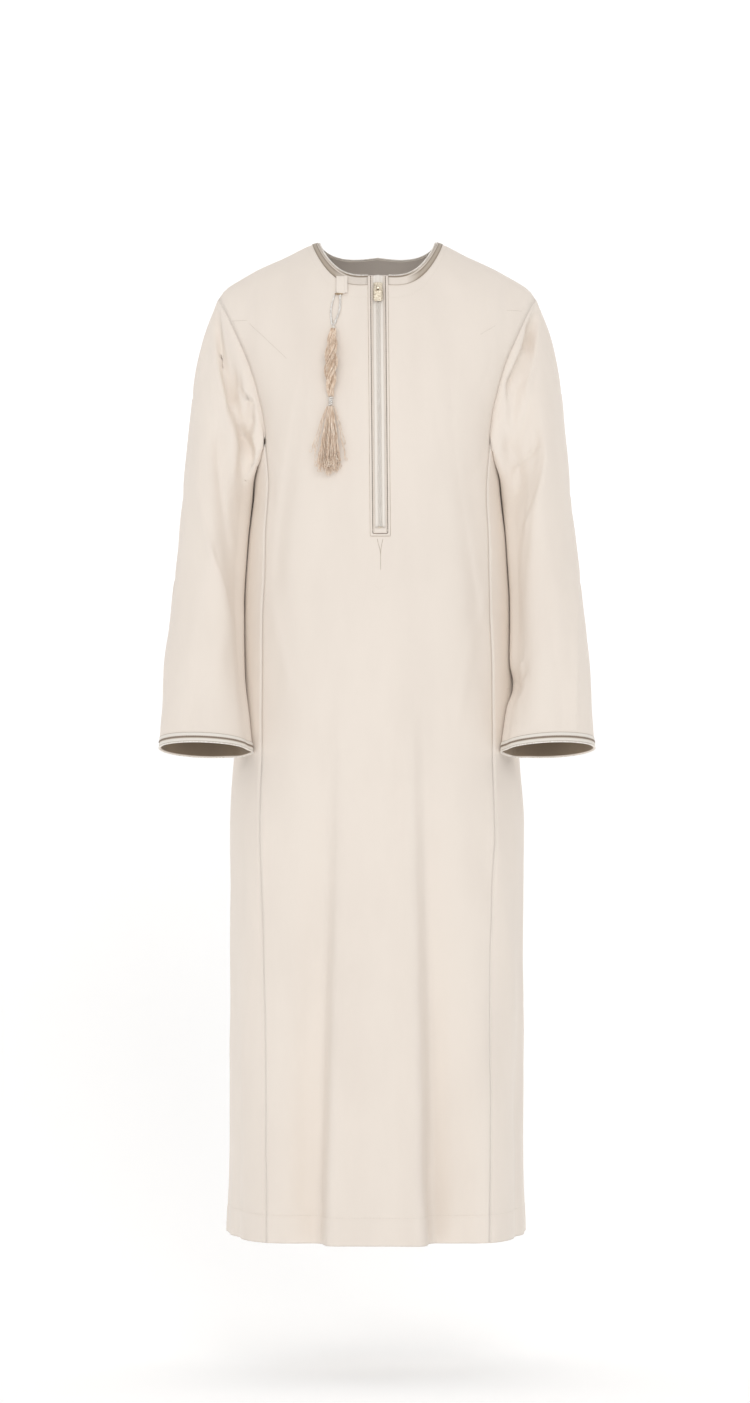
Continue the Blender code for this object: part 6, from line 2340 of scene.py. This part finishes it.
class Seams:
    """Rows of stitches on the cloth: the hem's and the short ones at the shoulders and sides."""

    hem_stitch, hem_gap, hem_radius = 0.0030, 0.0012, 0.00022
    short = {
        "shoulder_tack_right": ((-0.199, -0.1118), (-0.178, -0.1118)),
        "shoulder_tack_left": ((0.1766, -0.0980), (0.199, -0.0980)),
        "chest_line_right": ((-0.175, -0.1159), (-0.1228, -0.1670)),
        "chest_line_left": ((0.1615, -0.1200), (0.1394, -0.1340)),
        "side_tack_right": ((-0.1835, -0.6170), (-0.175, -0.6170)),
        "side_tack_left": ((0.1766, -0.6155), (0.183, -0.6155)),
    }

    def __init__(self, robe: Robe) -> None:
        """Take the robe."""
        self.robe = robe

    def build(self, shop: Workshop) -> None:
        """Sew the rows.

        Args:
            shop: what makes the pieces.
        """
        robe, form = self.robe, self.robe.form
        level = form.hem - form.length - form.underarm + 0.001
        row = int(np.argmin(np.abs(robe.rows_at - level)))
        sheets = {"front": robe.front, "back": robe.back, "right": robe.sides[Side.RIGHT],
                  "left": robe.sides[Side.LEFT]}
        for name, sheet in sheets.items():
            shop.stitches(f"hem_stitches_{name}", sheet.points[row], sheet.normals[row],
                          CREAM_THREAD, self.hem_stitch, self.hem_gap, self.hem_radius)
        for name, ends in self.short.items():
            path, normals = robe.on_front(resampled(np.array(ends), 0.0010)[0])
            shop.stitches(name, path, normals, TAUPE_THREAD, 0.0022, 0.0009, 0.00020)


class Studio:
    """The pale studio: floor and backdrop in one sweep, soft lights and the camera."""

    floor, back, bend, reach = -1.5525, 2.2, 1.6, 7.0
    camera, lens = (-0.0028, -6.0, -0.6327), 111.6
    world = 0.50
    lights = (
        ("key", (1.0, -4.6, 1.9), 2.2, 60.0),
        ("fill", (-1.8, -4.4, 0.3), 3.4, 38.0),
        ("top", (0.0, -0.6, 2.6), 2.6, 12.0),
        ("backdrop_left", (-2.6, 0.9, 0.6), 1.8, 12.0),
        ("backdrop_right", (2.6, 0.9, 0.6), 1.8, 12.0),
    )

    def build(self) -> None:
        """Set up the sweep, the lights, the world and the camera."""
        self.sweep()
        for name, place, size, power in self.lights:
            self.light(name, place, size, power)
        world = bpy.data.worlds.new("studio")
        world.use_nodes = True
        background = world.node_tree.nodes["Background"]
        background.inputs["Color"].default_value = (1.0, 0.985, 0.97, 1.0)
        background.inputs["Strength"].default_value = self.world
        bpy.context.scene.world = world
        bpy.context.scene.view_settings.view_transform = "Standard"
        data = bpy.data.cameras.new("camera")
        data.lens = self.lens
        camera = bpy.data.objects.new("camera", data)
        camera.location = self.camera
        camera.rotation_euler = (math.pi / 2, 0, 0)
        bpy.context.scene.collection.objects.link(camera)
        bpy.context.scene.camera = camera

    def sweep(self) -> None:
        """The floor, which bends up by a quarter turn into the backdrop."""
        turn = np.linspace(0, math.pi / 2, 25)
        y = np.concatenate([[-9.0], self.back - self.bend + self.bend * np.sin(turn), [self.back]])
        z = np.concatenate([[0.0], self.bend * (1 - np.cos(turn)), [4.5]]) + self.floor
        x = np.array([-self.reach, self.reach])
        places = np.stack(np.broadcast_arrays(x[None, :], y[:, None], z[:, None]), -1)
        mesh = bpy.data.meshes.new("studio_sweep")
        rows = np.arange(len(y) - 1)[:, None] * 2
        mesh.from_pydata(places.reshape(-1, 3).tolist(), [], (rows + np.array([0, 1, 3, 2])).tolist())
        mesh.polygons.foreach_set("use_smooth", np.ones(len(rows), bool))
        recipe = Recipe("studio_white")
        recipe.set(Base_Color=(0.95, 0.95, 0.95, 1.0), Roughness=0.95, Specular_IOR_Level=0.1,
                   Emission_Color=(1.0, 1.0, 1.0, 1.0), Emission_Strength=0.16)
        mesh.materials.append(recipe.material)
        made = bpy.data.objects.new("studio_sweep", mesh)
        bpy.context.scene.collection.objects.link(made)

    def light(self, name: str, place: Sequence[float], size: float, power: float) -> None:
        """A square area light that faces the robe's middle.

        Args:
            name: the lamp's name.
            place: where it stands.
            size: its width and height.
            power: its power in watts.
        """
        data = bpy.data.lights.new(name, "AREA")
        data.energy, data.size = power, size
        made = bpy.data.objects.new(name, data)
        made.location = place
        aim = Vector((0, 0, self.camera[2])) - Vector(place)
        made.rotation_euler = aim.to_track_quat("-Z", "Y").to_euler()
        bpy.context.scene.collection.objects.link(made)


def main() -> None:
    """Build the robe piece by piece, then its studio."""
    logging.basicConfig(level=logging.INFO, format="%(message)s")
    shop = Workshop()
    robe = Robe(Form())
    for part in (robe, NeckTrim(robe), Cuffs(robe), Placket(robe), Zip(robe), Tassel(robe),
                 Seams(robe)):
        LOG.info("Building: %s", type(part).__name__)
        part.build(shop)
    Studio().build()


if __name__ == "__main__":
    main()
